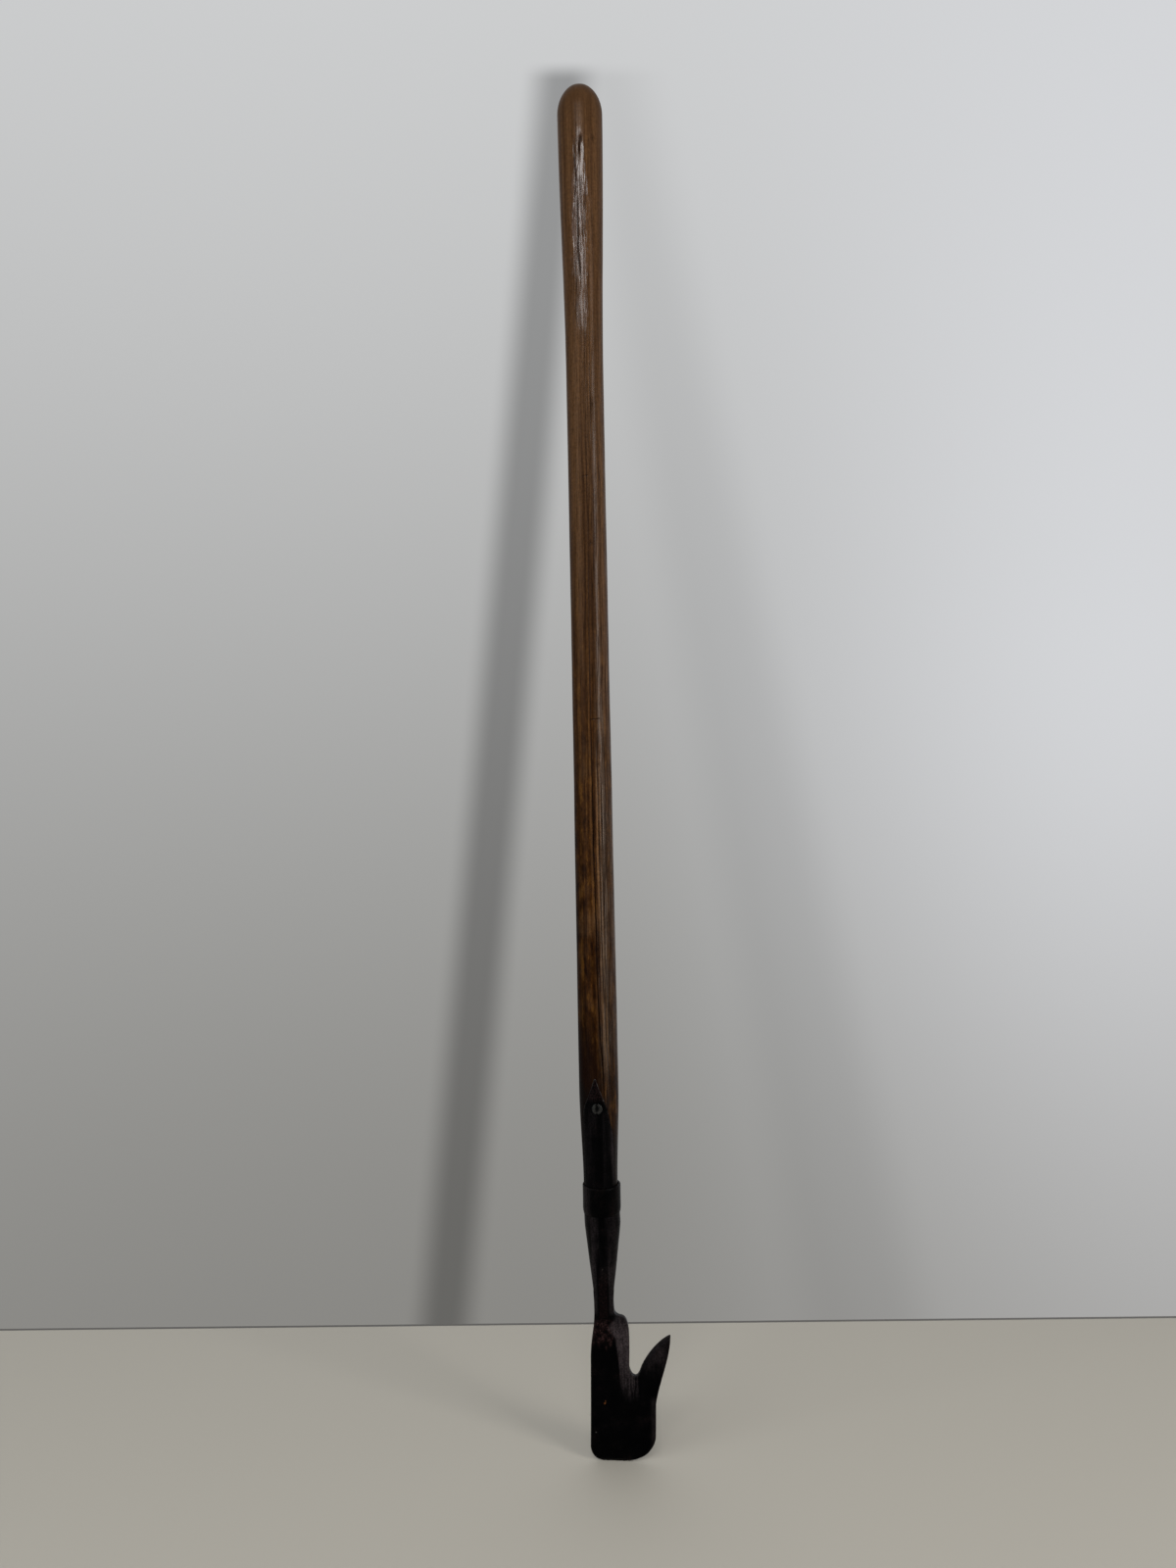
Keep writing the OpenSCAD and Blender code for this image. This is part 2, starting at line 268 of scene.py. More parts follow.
# %% Give each kind of ray its background
room_behind = (0.05, 0.05, 0.05, 1)
even_in_front, even_behind = (0.31, 0.315, 0.32, 1), (0.95, 0.96, 0.98, 1)
asks = add(sky, "LightPath").outputs
room = blend_colours(sky, towards("Y", -0.45, 0.15), room_behind, wall)
even_light = blend_colours(sky, towards("Y", 0.3, 0.9), even_in_front, even_behind)
mirrored = blend_colours(sky, asks["Is Glossy Ray"], wall, room)
seen = add(sky, "Background", {"Color": mirrored}).outputs[0]
lit = add(sky, "Background", {"Color": even_light}).outputs[0]
camera_or_mirror = larger(sky, asks["Is Camera Ray"], asks["Is Glossy Ray"])
any_seen = larger(sky, camera_or_mirror, asks["Is Transmission Ray"])
choose = add(sky, "MixShader", {0: any_seen, 1: lit, 2: seen}).outputs[0]
add(sky, "OutputWorld", {"Surface": choose})
print("nodes in the world:", len(sky.nodes))

# %% [markdown]
# The far edge of the floor lies where the photograph shows it. Two points of that line in
# the picture are carried down to the floor: each is the camera's place plus the line of
# sight, times the share at which its height reaches 0. The last few millimetres in front
# of the wall are a dark strip of painted shade, where floor and wall meet.

# %% Lay the floor
def floor_point(px, py):
    """The point of the floor that shows at a pixel."""
    sight = sight_line(px, py)
    return eye - sight * eye[2] / sight[2]


edge_left_pixel, edge_right_pixel = (0, 1356), (1200, 1343)
floor_reach, joint_wide = 30.0, 0.0045
far_left, far_right = floor_point(*edge_left_pixel), floor_point(*edge_right_pixel)
edge_way = (far_right - far_left) / np.linalg.norm(far_right - far_left)
near_way = np.array([edge_way[1], -edge_way[0], 0.0])
far_corners = [far_left - floor_reach * edge_way, far_right + floor_reach * edge_way]
floor_points = [c + out * near_way for out in (floor_reach, joint_wide, 0) for c in far_corners]
floor_mesh = bpy.data.meshes.new("floor")
floor_mesh.from_pydata([(*p[:2], 0) for p in floor_points], [], [(0, 1, 3, 2), (2, 3, 5, 4)])
floor = bpy.data.objects.new("floor", floor_mesh)
bpy.context.scene.collection.objects.link(floor)
floor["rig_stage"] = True
# The second tone is painted shade in the corner where floor and wall meet.
floor_tones = {"pale_floor": (0.43, 0.405, 0.35, 1), "painted_shade_at_the_wall": (0.12, 0.115, 0.105, 1)}
for name, tone in floor_tones.items():
    floor_paint = bpy.data.materials.new(name)
    floor_paint.use_nodes = True
    paint = floor_paint.node_tree.nodes["Principled BSDF"]
    paint.inputs["Base Color"].default_value = tone
    paint.inputs["Roughness"].default_value = 0.7
    floor_mesh.materials.append(floor_paint)
floor_mesh.polygons[1].material_index = 1
print("floor ends behind the tool at", np.round(far_left, 2).tolist(), np.round(far_right, 2).tolist())

# %% [markdown]
# ## Tools for drawing surfaces
#
# Each piece is a few grids of points worked out in millimetres with whole arrays. A grid
# is a function of two parameters, such as the angle round the pole and the height. The
# grids of a piece are sewn together where their points meet, and the faces are turned
# outwards.

# %% Curves and blends
MM = 0.001


def mix(a, b, t):
    """a at t = 0 and b at t = 1: a plus t times the difference."""
    return a + (b - a) * t


def ease(t):
    """From 0 to 1 with level ends: t squared times (3 minus 2 t), with t held between 0 and 1."""
    t = np.clip(t, 0, 1)
    return t * t * (3 - 2 * t)


def hill(value, middle, reach):
    """A soft hill: 1 at the middle and 0 at the reach: (1 minus the share squared), squared."""
    share = np.clip(np.abs(value - middle) / reach, 0, 1)
    return (1 - share**2) ** 2


def soft_min(a, b, width):
    """The smaller of a and b, with the corner between them rounded over that width."""
    near = np.clip(width - np.abs(a - b), 0, None) / width
    return np.minimum(a, b) - near**2 * width / 4


def soft_max(a, b, width):
    """The larger of a and b, with the corner between them filled over that width."""
    return -soft_min(-a, -b, width)


def curve(a, b, c, d, count):
    """A cubic curve: four points weighted (1-t)^3, 3(1-t)^2 t, 3(1-t)t^2 and t^3."""
    t = np.linspace(0, 1, count)[:, None]
    a, b, c, d = (np.array(p, float) for p in (a, b, c, d))
    return (1 - t) ** 3 * a + 3 * (1 - t) ** 2 * t * b + 3 * (1 - t) * t**2 * c + t**3 * d


def arc(centre, radius, start, end, count):
    """Points on a circle: centre plus radius times (cosine, sine) of each angle in degrees."""
    angle = np.radians(np.linspace(start, end, count))
    return np.array(centre) + radius * np.stack([np.cos(angle), np.sin(angle)], -1)


def along(line, shares):
    """Points on a line at these shares of its length, by linear steps between its points."""
    step = np.linalg.norm(np.diff(line, axis=0), axis=1)
    run = np.concatenate([[0], np.cumsum(step)])
    at = np.asarray(shares) * run[-1]
    return np.stack([np.interp(at, run, part) for part in line.T], -1)


noise_cells = 64


def noise(x, y, seed, wrap=noise_cells):
    """Random heights from -1 to 1 at whole numbers, blended with eased shares of x and y.
    The pattern comes round again after wrap steps of x."""
    table = np.random.default_rng(seed).uniform(-1, 1, (noise_cells, noise_cells))
    x, y = np.broadcast_arrays(np.asarray(x, float), np.asarray(y, float))
    i, j = np.floor(x).astype(int), np.floor(y).astype(int)
    u, v = ease(x - i), ease(y - j)
    i0, i1, j0, j1 = i % wrap, (i + 1) % wrap, j % noise_cells, (j + 1) % noise_cells
    low = mix(table[i0, j0], table[i1, j0], u)
    high = mix(table[i0, j1], table[i1, j1], u)
    return mix(low, high, v)


# %% Sew grids into a piece
def quads(rows, columns, first):
    """Four corners of each cell of a grid whose points are numbered row by row."""
    index = first + np.arange(rows * columns).reshape(rows, columns)
    return np.stack([index[:-1, :-1], index[:-1, 1:], index[1:, 1:], index[1:, :-1]], -1).reshape(-1, 4)


# Points closer than this, in mm, become one.
weld = 0.004


def make_piece(name, node, slot_name, grids, marks, crease):
    """Joins grids of points in mm into one closed mesh, which rides on the body and hides its CAD node.
    marks holds, for each named attribute, one array of values per grid."""
    points = np.concatenate([g.reshape(-1, 3) for g in grids]) * MM
    firsts = np.cumsum([0] + [g.shape[0] * g.shape[1] for g in grids])
    faces = np.concatenate([quads(g.shape[0], g.shape[1], f) for g, f in zip(grids, firsts)])
    mesh = bpy.data.meshes.new(name)
    mesh.from_pydata(points, [], faces)
    for mark, values in marks.items():
        layer = mesh.attributes.new(mark, "FLOAT", "POINT")
        layer.data.foreach_set("value", np.concatenate([np.ravel(v) for v in values]).astype(np.float32))
    work = bmesh.new()
    work.from_mesh(mesh)
    bmesh.ops.remove_doubles(work, verts=work.verts, dist=weld * MM)
    bmesh.ops.dissolve_degenerate(work, edges=work.edges, dist=1e-7)
    bmesh.ops.recalc_face_normals(work, faces=work.faces)
    open_edges = sum(1 for e in work.edges if len(e.link_faces) != 2)
    volume = work.calc_volume()
    work.to_mesh(mesh)
    work.free()
    mesh.shade_smooth()
    mesh.set_sharp_from_angle(angle=np.radians(crease))
    piece = bpy.data.objects.new(name, mesh)
    bpy.context.scene.collection.objects.link(piece)
    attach(piece, "root")
    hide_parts(node)
    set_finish(piece, slot_name)
    triangles = sum(len(p.vertices) - 2 for p in mesh.polygons)
    print(f"{name}: {triangles} triangles, {open_edges} open edges, {volume * 1e6:.2f} cm3")


# %% [markdown]
# ## The pole
#
# The pole is turned and shaved by hand: 32.4 mm at its waist, 39.4 mm at the knob, a little
# swell above the iron. Its drying checks, the weathered patch under the knob and a few
# knocks are real dents in the surface here, because they catch the light. The grid is
# finest along the longest check, and its rows crowd together where the detail is.

# %% Main sizes of the wood
knob_r, waist_r, swell_r, mouth_r = 19.7, 16.2, 17.1, 14.8
top_z, dome_h, knob_low_z, waist_z, swell_z, mouth_z = 1200.0, 26.0, 948.0, 761.7, 327.0, 242.0
dome_z = top_z - dome_h
nose_z, nose_r, seat_r, wall_t = 158.0, 7.1, 15.0, 2.1
langet_proud, fit_gap, nose_gap = 0.2, 0.1, 0.15


def wood_r(z):
    """Radius of the pole: eased from mouth to swell, swell to waist and waist to knob."""
    foot = mix(mouth_r, swell_r, ease((z - mouth_z) / (swell_z - mouth_z)))
    middle = mix(swell_r, waist_r, ease((z - swell_z) / (waist_z - swell_z)))
    knob = mix(waist_r, knob_r, ease((z - knob_low_z) / (dome_z - knob_low_z)))
    return np.where(z < swell_z, foot, np.where(z < knob_low_z, middle, knob))


def bore_r(z):
    """Radius of the socket's bore: straight from the nose to the mouth."""
    return mix(nose_r, seat_r - wall_t, (z - nose_z) / (mouth_z - nose_z))


# %% [markdown]
# The langets are long pointed leaves. Their outline is one line for each side, wrapped
# round the pole: nearly parallel above the ring, then two straight cuts to the tip. The
# front one is not quite even, as a smith's eye leaves it. The pocket in the wood follows
# the same outline, so it comes before the pole.

# %% Outline of a langet
langet_foot_z, langet_half, tip_z = 238.5, 13.75, 336.8
turn_len, mouth_len = 14, 12


def langet_side(wide, knee_z, corner, tip_x, low_turn):
    """One side: straight up, a cubic curve in to the corner, a straight cut, a small round tip."""
    foot_x = np.sign(wide) * langet_half
    turn_start = [wide, knee_z - turn_len]
    rise = np.array([[foot_x, langet_foot_z], [foot_x, mouth_z], [wide, mouth_z + mouth_len], turn_start])
    turn_in = curve(turn_start, [wide, knee_z], low_turn, corner, 14)
    near_tip = [mix(corner[0], tip_x, 0.74), mix(corner[1], tip_z, 0.78)]
    up_to_tip = [mix(near_tip[0], tip_x, 0.45), near_tip[1] + 3.4]
    level_to_tip = [mix(near_tip[0], tip_x, 0.35), tip_z]
    tip = curve(near_tip, up_to_tip, level_to_tip, [tip_x, tip_z], 9)
    return np.concatenate([rise, turn_in[1:], tip])


front_left = langet_side(-langet_half, 303, (-12.4, 312), -2.0, (-13.7, 307.5))
front_right = langet_side(13.3, 288, (8.4, 311), -2.0, (10.8, 298))
back_left = langet_side(-13.3, 290, (-9.0, 310), 0.0, (-11.2, 300))
back_right = langet_side(13.3, 290, (9.0, 310), 0.0, (11.2, 300))


def inside_langet(x, z, left, right):
    """How far a point lies inside the outline, in mm across the pole; less than 0 outside."""
    room_left = x - np.interp(z, left[:, 1], left[:, 0], right=99)
    room_right = np.interp(z, right[:, 1], right[:, 0], right=-99) - x
    return np.minimum(room_left, room_right)


# %% Where the wood is marked
# Knots: angle in degrees, height and size in mm. Nicks: angle, height, half width in
# degrees, depth in mm.
knots = [(38, 1145.9, 1.9), (-41, 896.9, 0.9), (23, 607.5, 1.8), (12, 798.0, 1.7), (26, 917.5, 1.3)]
nicks = [(14, 646.4, 19, 0.4), (-2, 855.7, 12, 0.3), (-24, 549.3, 7, 0.2), (-6, 500.0, 6, 0.15)]


def check_path(z):
    """Angle in degrees of the long drying check at each height, between a few places on it."""
    return np.interp(z, [300, 340, 368, 420, 539, 710, 881, 1018], [20, 19, 13, 7, 3.1, 1.9, 4, 5.5])


fine_below, knob_rows_z = 345, 945


def row_step(z):
    """Distance in mm between the rows of the grid at height z: small beside the langets and on
    the knob, wide between them, and smallest at each knot and nick."""
    step = np.where(z < fine_below, 0.92, np.where(z < knob_rows_z, 3.5, 1.6))
    for _, at, size in knots:
        step = np.minimum(step, 0.55 + np.clip(np.abs(z - at) - 1.4 * size, 0, None) * 0.8)
    for _, at, _, _ in nicks:
        step = np.minimum(step, 0.45 + np.clip(np.abs(z - at) - 1.2, 0, None) * 0.8)
    return step


fine_z = np.linspace(mouth_z, dome_z, 20000)
count_to = np.concatenate([[0], np.cumsum(np.diff(fine_z) / row_step(fine_z[1:]))])
row_total = int(count_to[-1])
shaft_z = np.interp(np.linspace(0, count_to[-1], row_total), count_to, fine_z)
print("rows on the straight part of the pole:", row_total)

# %% The grid of the pole
columns, spread = 178, 0.62
turn = np.linspace(-1, 1, columns)
nose_rows = np.linspace(nose_z, mouth_z, 8)[1:]
dome_turn = np.radians(np.linspace(0, 90, 26)[1:])
dome_rows_z, dome_rows_r = dome_z + dome_h * np.sin(dome_turn), knob_r * np.cos(dome_turn)
base_z = np.concatenate([[nose_z, nose_z], nose_rows, shaft_z, dome_rows_z])
base_r = np.concatenate([[0, 3.5], bore_r(nose_rows) - nose_gap, wood_r(shaft_z), dome_rows_r])
base_z[:2] += nose_gap
z, w = base_z[:, None], turn[None, :]
centre = np.radians(check_path(z))
angle = centre + np.pi * w - spread * np.sin(np.pi * w)
radius = np.repeat(base_r[:, None], columns, 1)
rise = np.repeat(z, columns, 1)
on_skin = ((rise >= mouth_z) & (radius > 0)).astype(float)
lap = angle / (2 * np.pi)
print("columns round the pole:", columns)

# %% [markdown]
# Dents are taken off the radius. A drying check is a narrow trough that wanders with the
# grain. The longest runs up the whole front and is deepest near the iron. Shorter ones lie
# further round the pole, and three keep close beside the long one where the wood is
# oldest. Between those the wood stands up in narrow polished strips, which a mark on the
# mesh tells to the finish.

# %% The long drying check
def trough(path_deg, half_width, wander, seed):
    """1 at the middle of a line that runs up the pole, falling as a bell curve to its sides."""
    sway = wander * noise(rise / 31, 0.5, seed) + 0.4 * wander * noise(rise / 9, 3.5, seed)
    off = (angle - np.radians(path_deg) + np.pi) % (2 * np.pi) - np.pi
    off = off * radius - sway
    return np.exp(-((off / half_width) ** 2))


def from_to(low, high, fade_low, fade_high):
    """1 between two heights and 0 past them, eased over so many mm inside each end."""
    return ease((rise - low) / fade_low) * ease((high - rise) / fade_high)


long_depth = mix(0.25, 1.15, ease((860 - rise) / 480)) * (0.72 + 0.28 * noise(rise / 17, 1.5, 3))
long_depth *= from_to(262, 1035, 40, 60)
long_half = mix(0.32, 0.52, ease((640 - rise) / 240)) + 0.16 * noise(rise / 23, 7.5, 4)
long_check = trough(check_path(rise), long_half, 0.35, 5)
cracks = long_depth * long_check
# The check's depth also darkens it in colour: painted shade, as in a split that light does not reach.
crack_shade = long_check * ease(long_depth / 0.35)
print("the long check is up to", round(float(cracks.max()), 2), "mm deep")

# %% Shorter checks
# Each row: angle in degrees, lowest and highest height, depth and half width in mm.
side_checks = [
    (20, 870, 1030, 0.30, 0.28),
    (-7, 560, 800, 0.28, 0.22),
    (30, 350, 620, 0.42, 0.30),
    (42, 300, 560, 0.35, 0.28),
    (53, 280, 700, 0.30, 0.25),
    (-18, 1000, 1100, 0.25, 0.25),
    (150, 420, 900, 0.5, 0.8),
    (-120, 300, 640, 0.4, 0.7),
]
for n, (path, low, high, depth, half) in enumerate(side_checks):
    reach = from_to(low, high, 40, 40) * np.clip(0.65 + 0.6 * noise(rise / 26, n, 11), 0, 1)
    line = trough(path, half, 0.5, 20 + n) * reach
    cracks = cracks + depth * line
    crack_shade = np.maximum(crack_shade, line * 0.8)

# These three are measured round from the long check instead.
near_checks = [(7, 400, 560, 0.5, 0.25), (17, 335, 640, 0.75, 0.38), (28, 340, 600, 0.4, 0.25)]
for n, (further, low, high, depth, half) in enumerate(near_checks):
    reach = from_to(low, high, 40, 60) * np.clip(0.75 + 0.5 * noise(rise / 30, n, 12), 0, 1)
    line = trough(check_path(rise) + further, half, 0.4, 40 + n) * reach
    cracks = cracks + depth * line
    crack_shade = np.maximum(crack_shade, line)

# %% Polished strips between the checks
# Each row: degrees round from the long check, half width and wander in mm, strength.
polished_lines = [(12, 0.85, 0.4, 1.0), (23, 0.7, 0.4, 0.8), (-6, 0.8, 0.6, 0.35)]
bright_strip = np.zeros_like(rise)
for n, (further, half, wander, strength) in enumerate(polished_lines):
    bright_strip += strength * trough(check_path(rise) + further, half, wander, 44 + n)
comes_and_goes = np.clip(0.7 + 0.8 * noise(rise / 35, 0.3, 47), 0, 1)
bright_strip = bright_strip * from_to(325, 640, 40, 80) * (1 - crack_shade) * comes_and_goes

# %% [markdown]
# Under the knob a hand's length of the front is weathered. Thin chips have come away along
# the grain and four short fissures run through it, while the ridges that are left are
# rubbed bright. The absolute value of stretched noise gives sharp valleys between rounded
# ridges: one noise for long chips, a finer one for small chips. A third noise breaks the
# valleys up, since without it they look combed.

# %% The worn patch under the knob
patch_half = np.interp(rise, [940, 985, 1060, 1105, 1138, 1152], [4, 15, 23, 21, 14, 5])
patch_middle = np.interp(rise, [940, 1150], [-4, 2])
patch_off = (np.degrees(angle) - patch_middle) / patch_half
ragged = 0.35 * noise(lap * 128, rise / 7, 31, 64) + 0.25 * noise(lap * 64, rise / 22, 32)
patch = ease((1.15 - np.abs(patch_off) + ragged) / 0.5) * ease((rise - 955) / 50) * ease((1156 - rise) / 14)
chips = noise(lap * 42 + 0.5 * noise(lap * 20, rise / 15, 35), rise / 50, 33)
small_chips = noise(lap * 96 + 0.5 * noise(lap * 40, rise / 8, 36), rise / 12, 34)
fades_low = mix(0.3, 1.0, ease((rise - 1010) / 60))
broken = np.clip(0.55 + 1.3 * noise(lap * 15, rise / 12, 37), 0, 1) * fades_low
valley = mix(0.35, 1, broken) * np.clip(1 - np.abs(chips) / 0.17, 0, 1) ** 1.2
small_valley = broken * np.clip(1 - np.abs(small_chips) / 0.24, 0, 1) ** 1.2

# Each row: angle in degrees, lowest and highest height, depth and half width in mm.
fissures = [
    (-11, 1082, 1148, 0.5, 0.50),
    (-4, 1022, 1100, 0.7, 0.65),
    (7, 1060, 1116, 0.45, 0.45),
    (-15, 980, 1046, 0.5, 0.50),
]
fissure_dent = np.zeros_like(rise)
for n, (path, low, high, depth, half) in enumerate(fissures):
    fissure_dent += depth * from_to(low, high, 12, 12) * trough(path, half, 1.5, 60 + n)

chip_dent = 0.18 + 0.50 * valley + 0.20 * small_valley - 0.14 * chips - 0.08 * broken * small_chips
patch_dent = fissure_dent + patch * chip_dent
# Painted shade: the fissures and the valleys between the chips are darkened in colour.
patch_shade = np.clip(1.3 * fissure_dent + patch * (0.95 * valley + 0.55 * small_valley), 0, 1)
rubbed_ridges = np.clip(0.95 + 1.0 * noise(lap * 15, rise / 13, 38), 0.25, 1.25)
polish = patch * rubbed_ridges * mix(0.5, 1.0, ease((rise - 1005) / 60))
print("the worn patch is up to", round(float(patch_dent.max()), 2), "mm deep")

# %% [markdown]
# A nick is a short cut across the pole, a bell curve in height. A knot is a small pit in a
# ring. The shaving knife leaves long flat waves, and the old wood has a fine ripple of
# raised grain. A pocket takes each langet: as deep as the langet's wall less what stands
# proud, and a little more for the fit. The dents calm down beside the front langet, where
# the wood was pressed flat under it.

# %% Nicks, knots and the marks of the knife
nick_dent = np.zeros_like(rise)
for at_deg, at_z, half_deg, depth in nicks:
    across = (np.degrees(angle) - at_deg) / half_deg
    off = rise - at_z - 0.5 * across
    nick_dent += depth * np.exp(-((off / 0.38) ** 2)) * ease(3 * (1 - np.abs(across)))
knot_dent = np.zeros_like(rise)
for at_deg, at_z, size in knots:
    away = np.hypot((angle - np.radians(at_deg)) * radius, (rise - at_z) * 0.8)
    pit = 0.22 * np.exp(-((away / (0.55 * size)) ** 2))
    knot_dent += pit + 0.10 * np.exp(-(((away - size) / 0.35) ** 2))

shaved = 0.13 * noise(lap * 12, rise / 75, 41, 12) + 0.05 * noise(lap * 24, rise / 21, 42, 24)
ripple_depth = mix(0.035, 0.012, ease((rise - 500) / 400))
fine_ripple = ripple_depth * noise(lap * 192, rise / 60, 43, 64) * (1 - 0.8 * patch)

# %% Pockets for the langets, and all dents together
deepest_dent = 1.4
pole_x, faces_front = radius * np.sin(angle), np.cos(angle) > 0
pocket = np.zeros_like(rise)
for left, right, here in ((front_left, front_right, faces_front), (back_left, back_right, ~faces_front)):
    depth_in = inside_langet(pole_x, rise, left, right)
    pocket += np.where(here & (rise < tip_z), ease((depth_in - 0.15) / 0.7), 0)
by_langet = ease((inside_langet(pole_x, rise, front_left, front_right) + 1.5) / 1.5)
calm = np.where(rise < tip_z + 3, 1 - 0.8 * by_langet * faces_front, 1)
dents = (cracks + patch_dent + nick_dent + knot_dent + shaved + fine_ripple) * calm
radius_cut = radius - on_skin * np.minimum(dents, deepest_dent) * np.clip(radius / 6, 0, 1)
radius_cut -= on_skin * pocket * (wall_t - langet_proud + fit_gap)
# One mark for the finish: painted shade in the checks, fissures and nicks, and the darker wood of the knots.
shade_and_knot_mark = np.clip(crack_shade + patch_shade + 2.2 * nick_dent + 3.0 * knot_dent, 0, 1) * on_skin

# %% Make the pole
shaft_grid = np.stack([radius_cut * np.sin(angle), -radius_cut * np.cos(angle), rise], -1)
wood_marks = {
    "shade_and_knot_mark": [shade_and_knot_mark],
    "patch": [polish * on_skin],
    "bright_strip": [bright_strip * on_skin],
}
make_piece("ash_pole", "shaft", "oiled_ash", [shaft_grid], wood_marks, crease=50)

# %% [markdown]
# ## The socket and its langets
#
# The smith bends a plate round a tapered mandrel, so the socket is one wall of even
# thickness. It is round at the mouth and drawn down to eight flats at the neck. Outside and
# inside are two grids on the same columns. Between the slits the columns run on up into
# the langets and meet at the tip, and a rim strip with a worn chamfer joins the two.
# %% The shape of the forging below the ring
socket_z, full_z, ring_low_z = 150.0, 204.0, 217.0
full_r, neck_x, neck_y, neck_corner, neck_lean = 15.6, 8.3, 7.6, 8.2, 0.75


def cone_r(z):
    """Outside of the socket: a straight taper from the neck, then the nearly level mouth."""
    heights = [socket_z, full_z, 208, ring_low_z, ring_low_z + 1, mouth_z]
    return np.interp(z, heights, [9.3, 15.3, full_r, full_r, seat_r, seat_r])


def eight_flats(angle, z):
    """Distance to the surface along each angle, the nearest of eight flats with soft corners."""
    heights = [132, 140, 146, 150, 158, 172, 196, 217]
    opening = np.interp(z, heights, [0.0, 0.15, 0.5, 0.9, 1.9, 4.2, 9.0, 22])
    sides = []
    for k in range(8):
        half = (neck_y, neck_corner, neck_x, neck_corner)[k % 4]
        towards_flat = np.cos(angle - np.radians(45 * k))
        sides.append(np.where(towards_flat > 0.3, (half + opening) / np.maximum(towards_flat, 0.3), 60))
    surface = sides[0]
    for side in sides[1:]:
        surface = soft_min(surface, side, 0.45)
    return surface


def hammered(angle, z, depth):
    """Shallow dents of a hammer: two sizes of noise round the forging."""
    lap = angle / (2 * np.pi)
    return depth * noise(lap * 10, z / 11, 51, 10) + 0.5 * depth * noise(lap * 20, z / 5, 52, 20)


# %% [markdown]
# Rust, rubbed places and painted highlights follow the tool and not a pattern, so they are
# marks on the mesh: numbers that each point carries, which the finish reads. The paler
# faces are partly rubbed grey and partly a painted highlight where they turn to the lights.
# Both marks are worked out from the place of a point alone, so they run on across the welds
# from socket to neck to blade.

# %% Marks on the forged iron
def damp_iron(points):
    """Where rust lies: down the front of the neck, over the top left of the blade, on the langet's tip."""
    x, y, z = points[..., 0], points[..., 1], points[..., 2]
    on_front_flat = 0.30 * ease((4.6 - np.abs(x - neck_lean)) / 1.5)
    down_neck = on_front_flat * ease((z - 112) / 8) * ease((176 - z) / 20) * (y < 0)
    ragged_z = z + 6 * noise(x / 3.1, z / 15, 87)
    blade_top = ease((127 - z) / 7) * ease((ragged_z - 100) / 10) * ease((11 - x) / 6) * (y < 0)
    blade_top = blade_top * np.clip(0.85 + 1.5 * noise(x / 2.2, z / 3.6, 90), 0.15, 1.6)
    langet_tip = 0.5 * ease((z - 315) / 7)
    low_back = 0.5 * (y > 0) * ease((130 - z) / 20)
    return np.clip(down_neck + blade_top + langet_tip + low_back, 0, 1.6)


def rubbed_and_highlit_iron(points):
    """Where the black skin is paler, partly rubbed grey and partly painted highlight on faces turned to the
    lights: right of the spine, round the notch, on hook, neck and socket.
    """
    x, y, z = points[..., 0], points[..., 1], points[..., 2]
    # Painted highlight: the facet right of the spine, the sides of the neck, the left of the socket and the
    # right of the langets are paler where they face the lights.
    ridge = np.interp(z, [44, 53, 68, 84, 99, 109, 118, 126], [24, 17.5, 13.6, 13, 11.6, 9.2, 1.7, 9])
    heights = [50, 60, 72, 84, 98, 112, 118, 124, 132]
    strength = np.interp(z, heights, [0, 0.08, 0.25, 0.65, 1.0, 0.95, 0.7, 0.45, 0.25])
    facet = strength * ease((x - ridge) / np.interp(z, [100, 112], [0.9, 4.0])) * ease((28 - x) / 5)
    streaks = 0.45 * ease((noise(x / 1.1, z / 14, 86) + 0.1) / 0.5) * hill(x, 23, 12) * hill(z, 68, 16)
    hook = (0.22 + 0.12 * noise(x / 5, z / 6, 89)) * ease((x - 30) / 10) * ease((z - 70) / 25)
    low_right = 0.18 * ease((x - 39) / 3) * ease((60 - z) / 8) * ease(z / 8)
    blade = np.where(y < 0, facet + streaks + hook + low_right, 0.12) * ease(133 - z)
    neck = 0.30 * ease((np.abs(x - neck_lean) - 4.5) / 1.5) * ease((z - 128) / 4) * ease((186 - z) / 20)
    drawn = ease((noise(x / 2.4, z / 40, 88) + 0.6) / 1.2)
    socket = drawn * (0.16 + 0.16 * ease((-3 - x) / 5)) * ease((z - 150) / 30) * ease((219 - z) / 3)
    langets = drawn * (0.30 * hill(x, 11, 4) + 0.08) * ease((z - 235) / 20) * ease((320 - z) / 20)
    return np.clip(blade + neck + (socket + langets), 0, 1)


def iron_marks(grids, wear):
    """The marks of a forged piece: its rubbed rims, its rust and its paler faces, partly rubbed grey and
    partly painted highlight.
    """
    rust, pale = [damp_iron(g) for g in grids], [rubbed_and_highlit_iron(g) for g in grids]
    return {"wear": wear, "rust": rust, "pale": pale}


# %% Columns round the socket
leaf_cols, slit_cols = 64, 12
half_turn = np.arcsin(langet_half / seat_r)
front_turn = np.linspace(-half_turn, half_turn, leaf_cols + 1)
gap_turn = np.linspace(half_turn, np.pi - half_turn, slit_cols + 1)
around = np.concatenate([front_turn, gap_turn[1:-1], front_turn + np.pi, gap_turn[1:-1] + np.pi])
print("columns round the socket:", len(around))


def ring_points(radius, angle, z):
    """Points at a radius and angle from the front of the tool, turning to its right."""
    radius, angle, z = np.broadcast_arrays(radius, angle, z)
    return np.stack([radius * np.sin(angle), -radius * np.cos(angle), z], -1)


def disc(radius, angle, z):
    """A flat end: the middle, a ring halfway out and the border."""
    return ring_points(np.array([[0.0], [0.5], [1.0]]) * radius, angle, z)


def lean(z):
    """How far the forging stands to the right of the pole's axis, in mm at each height."""
    return np.interp(z, [132, 150, 208, 222, langet_foot_z], [neck_lean, 0.85, 1.0, 0.6, 0.0])


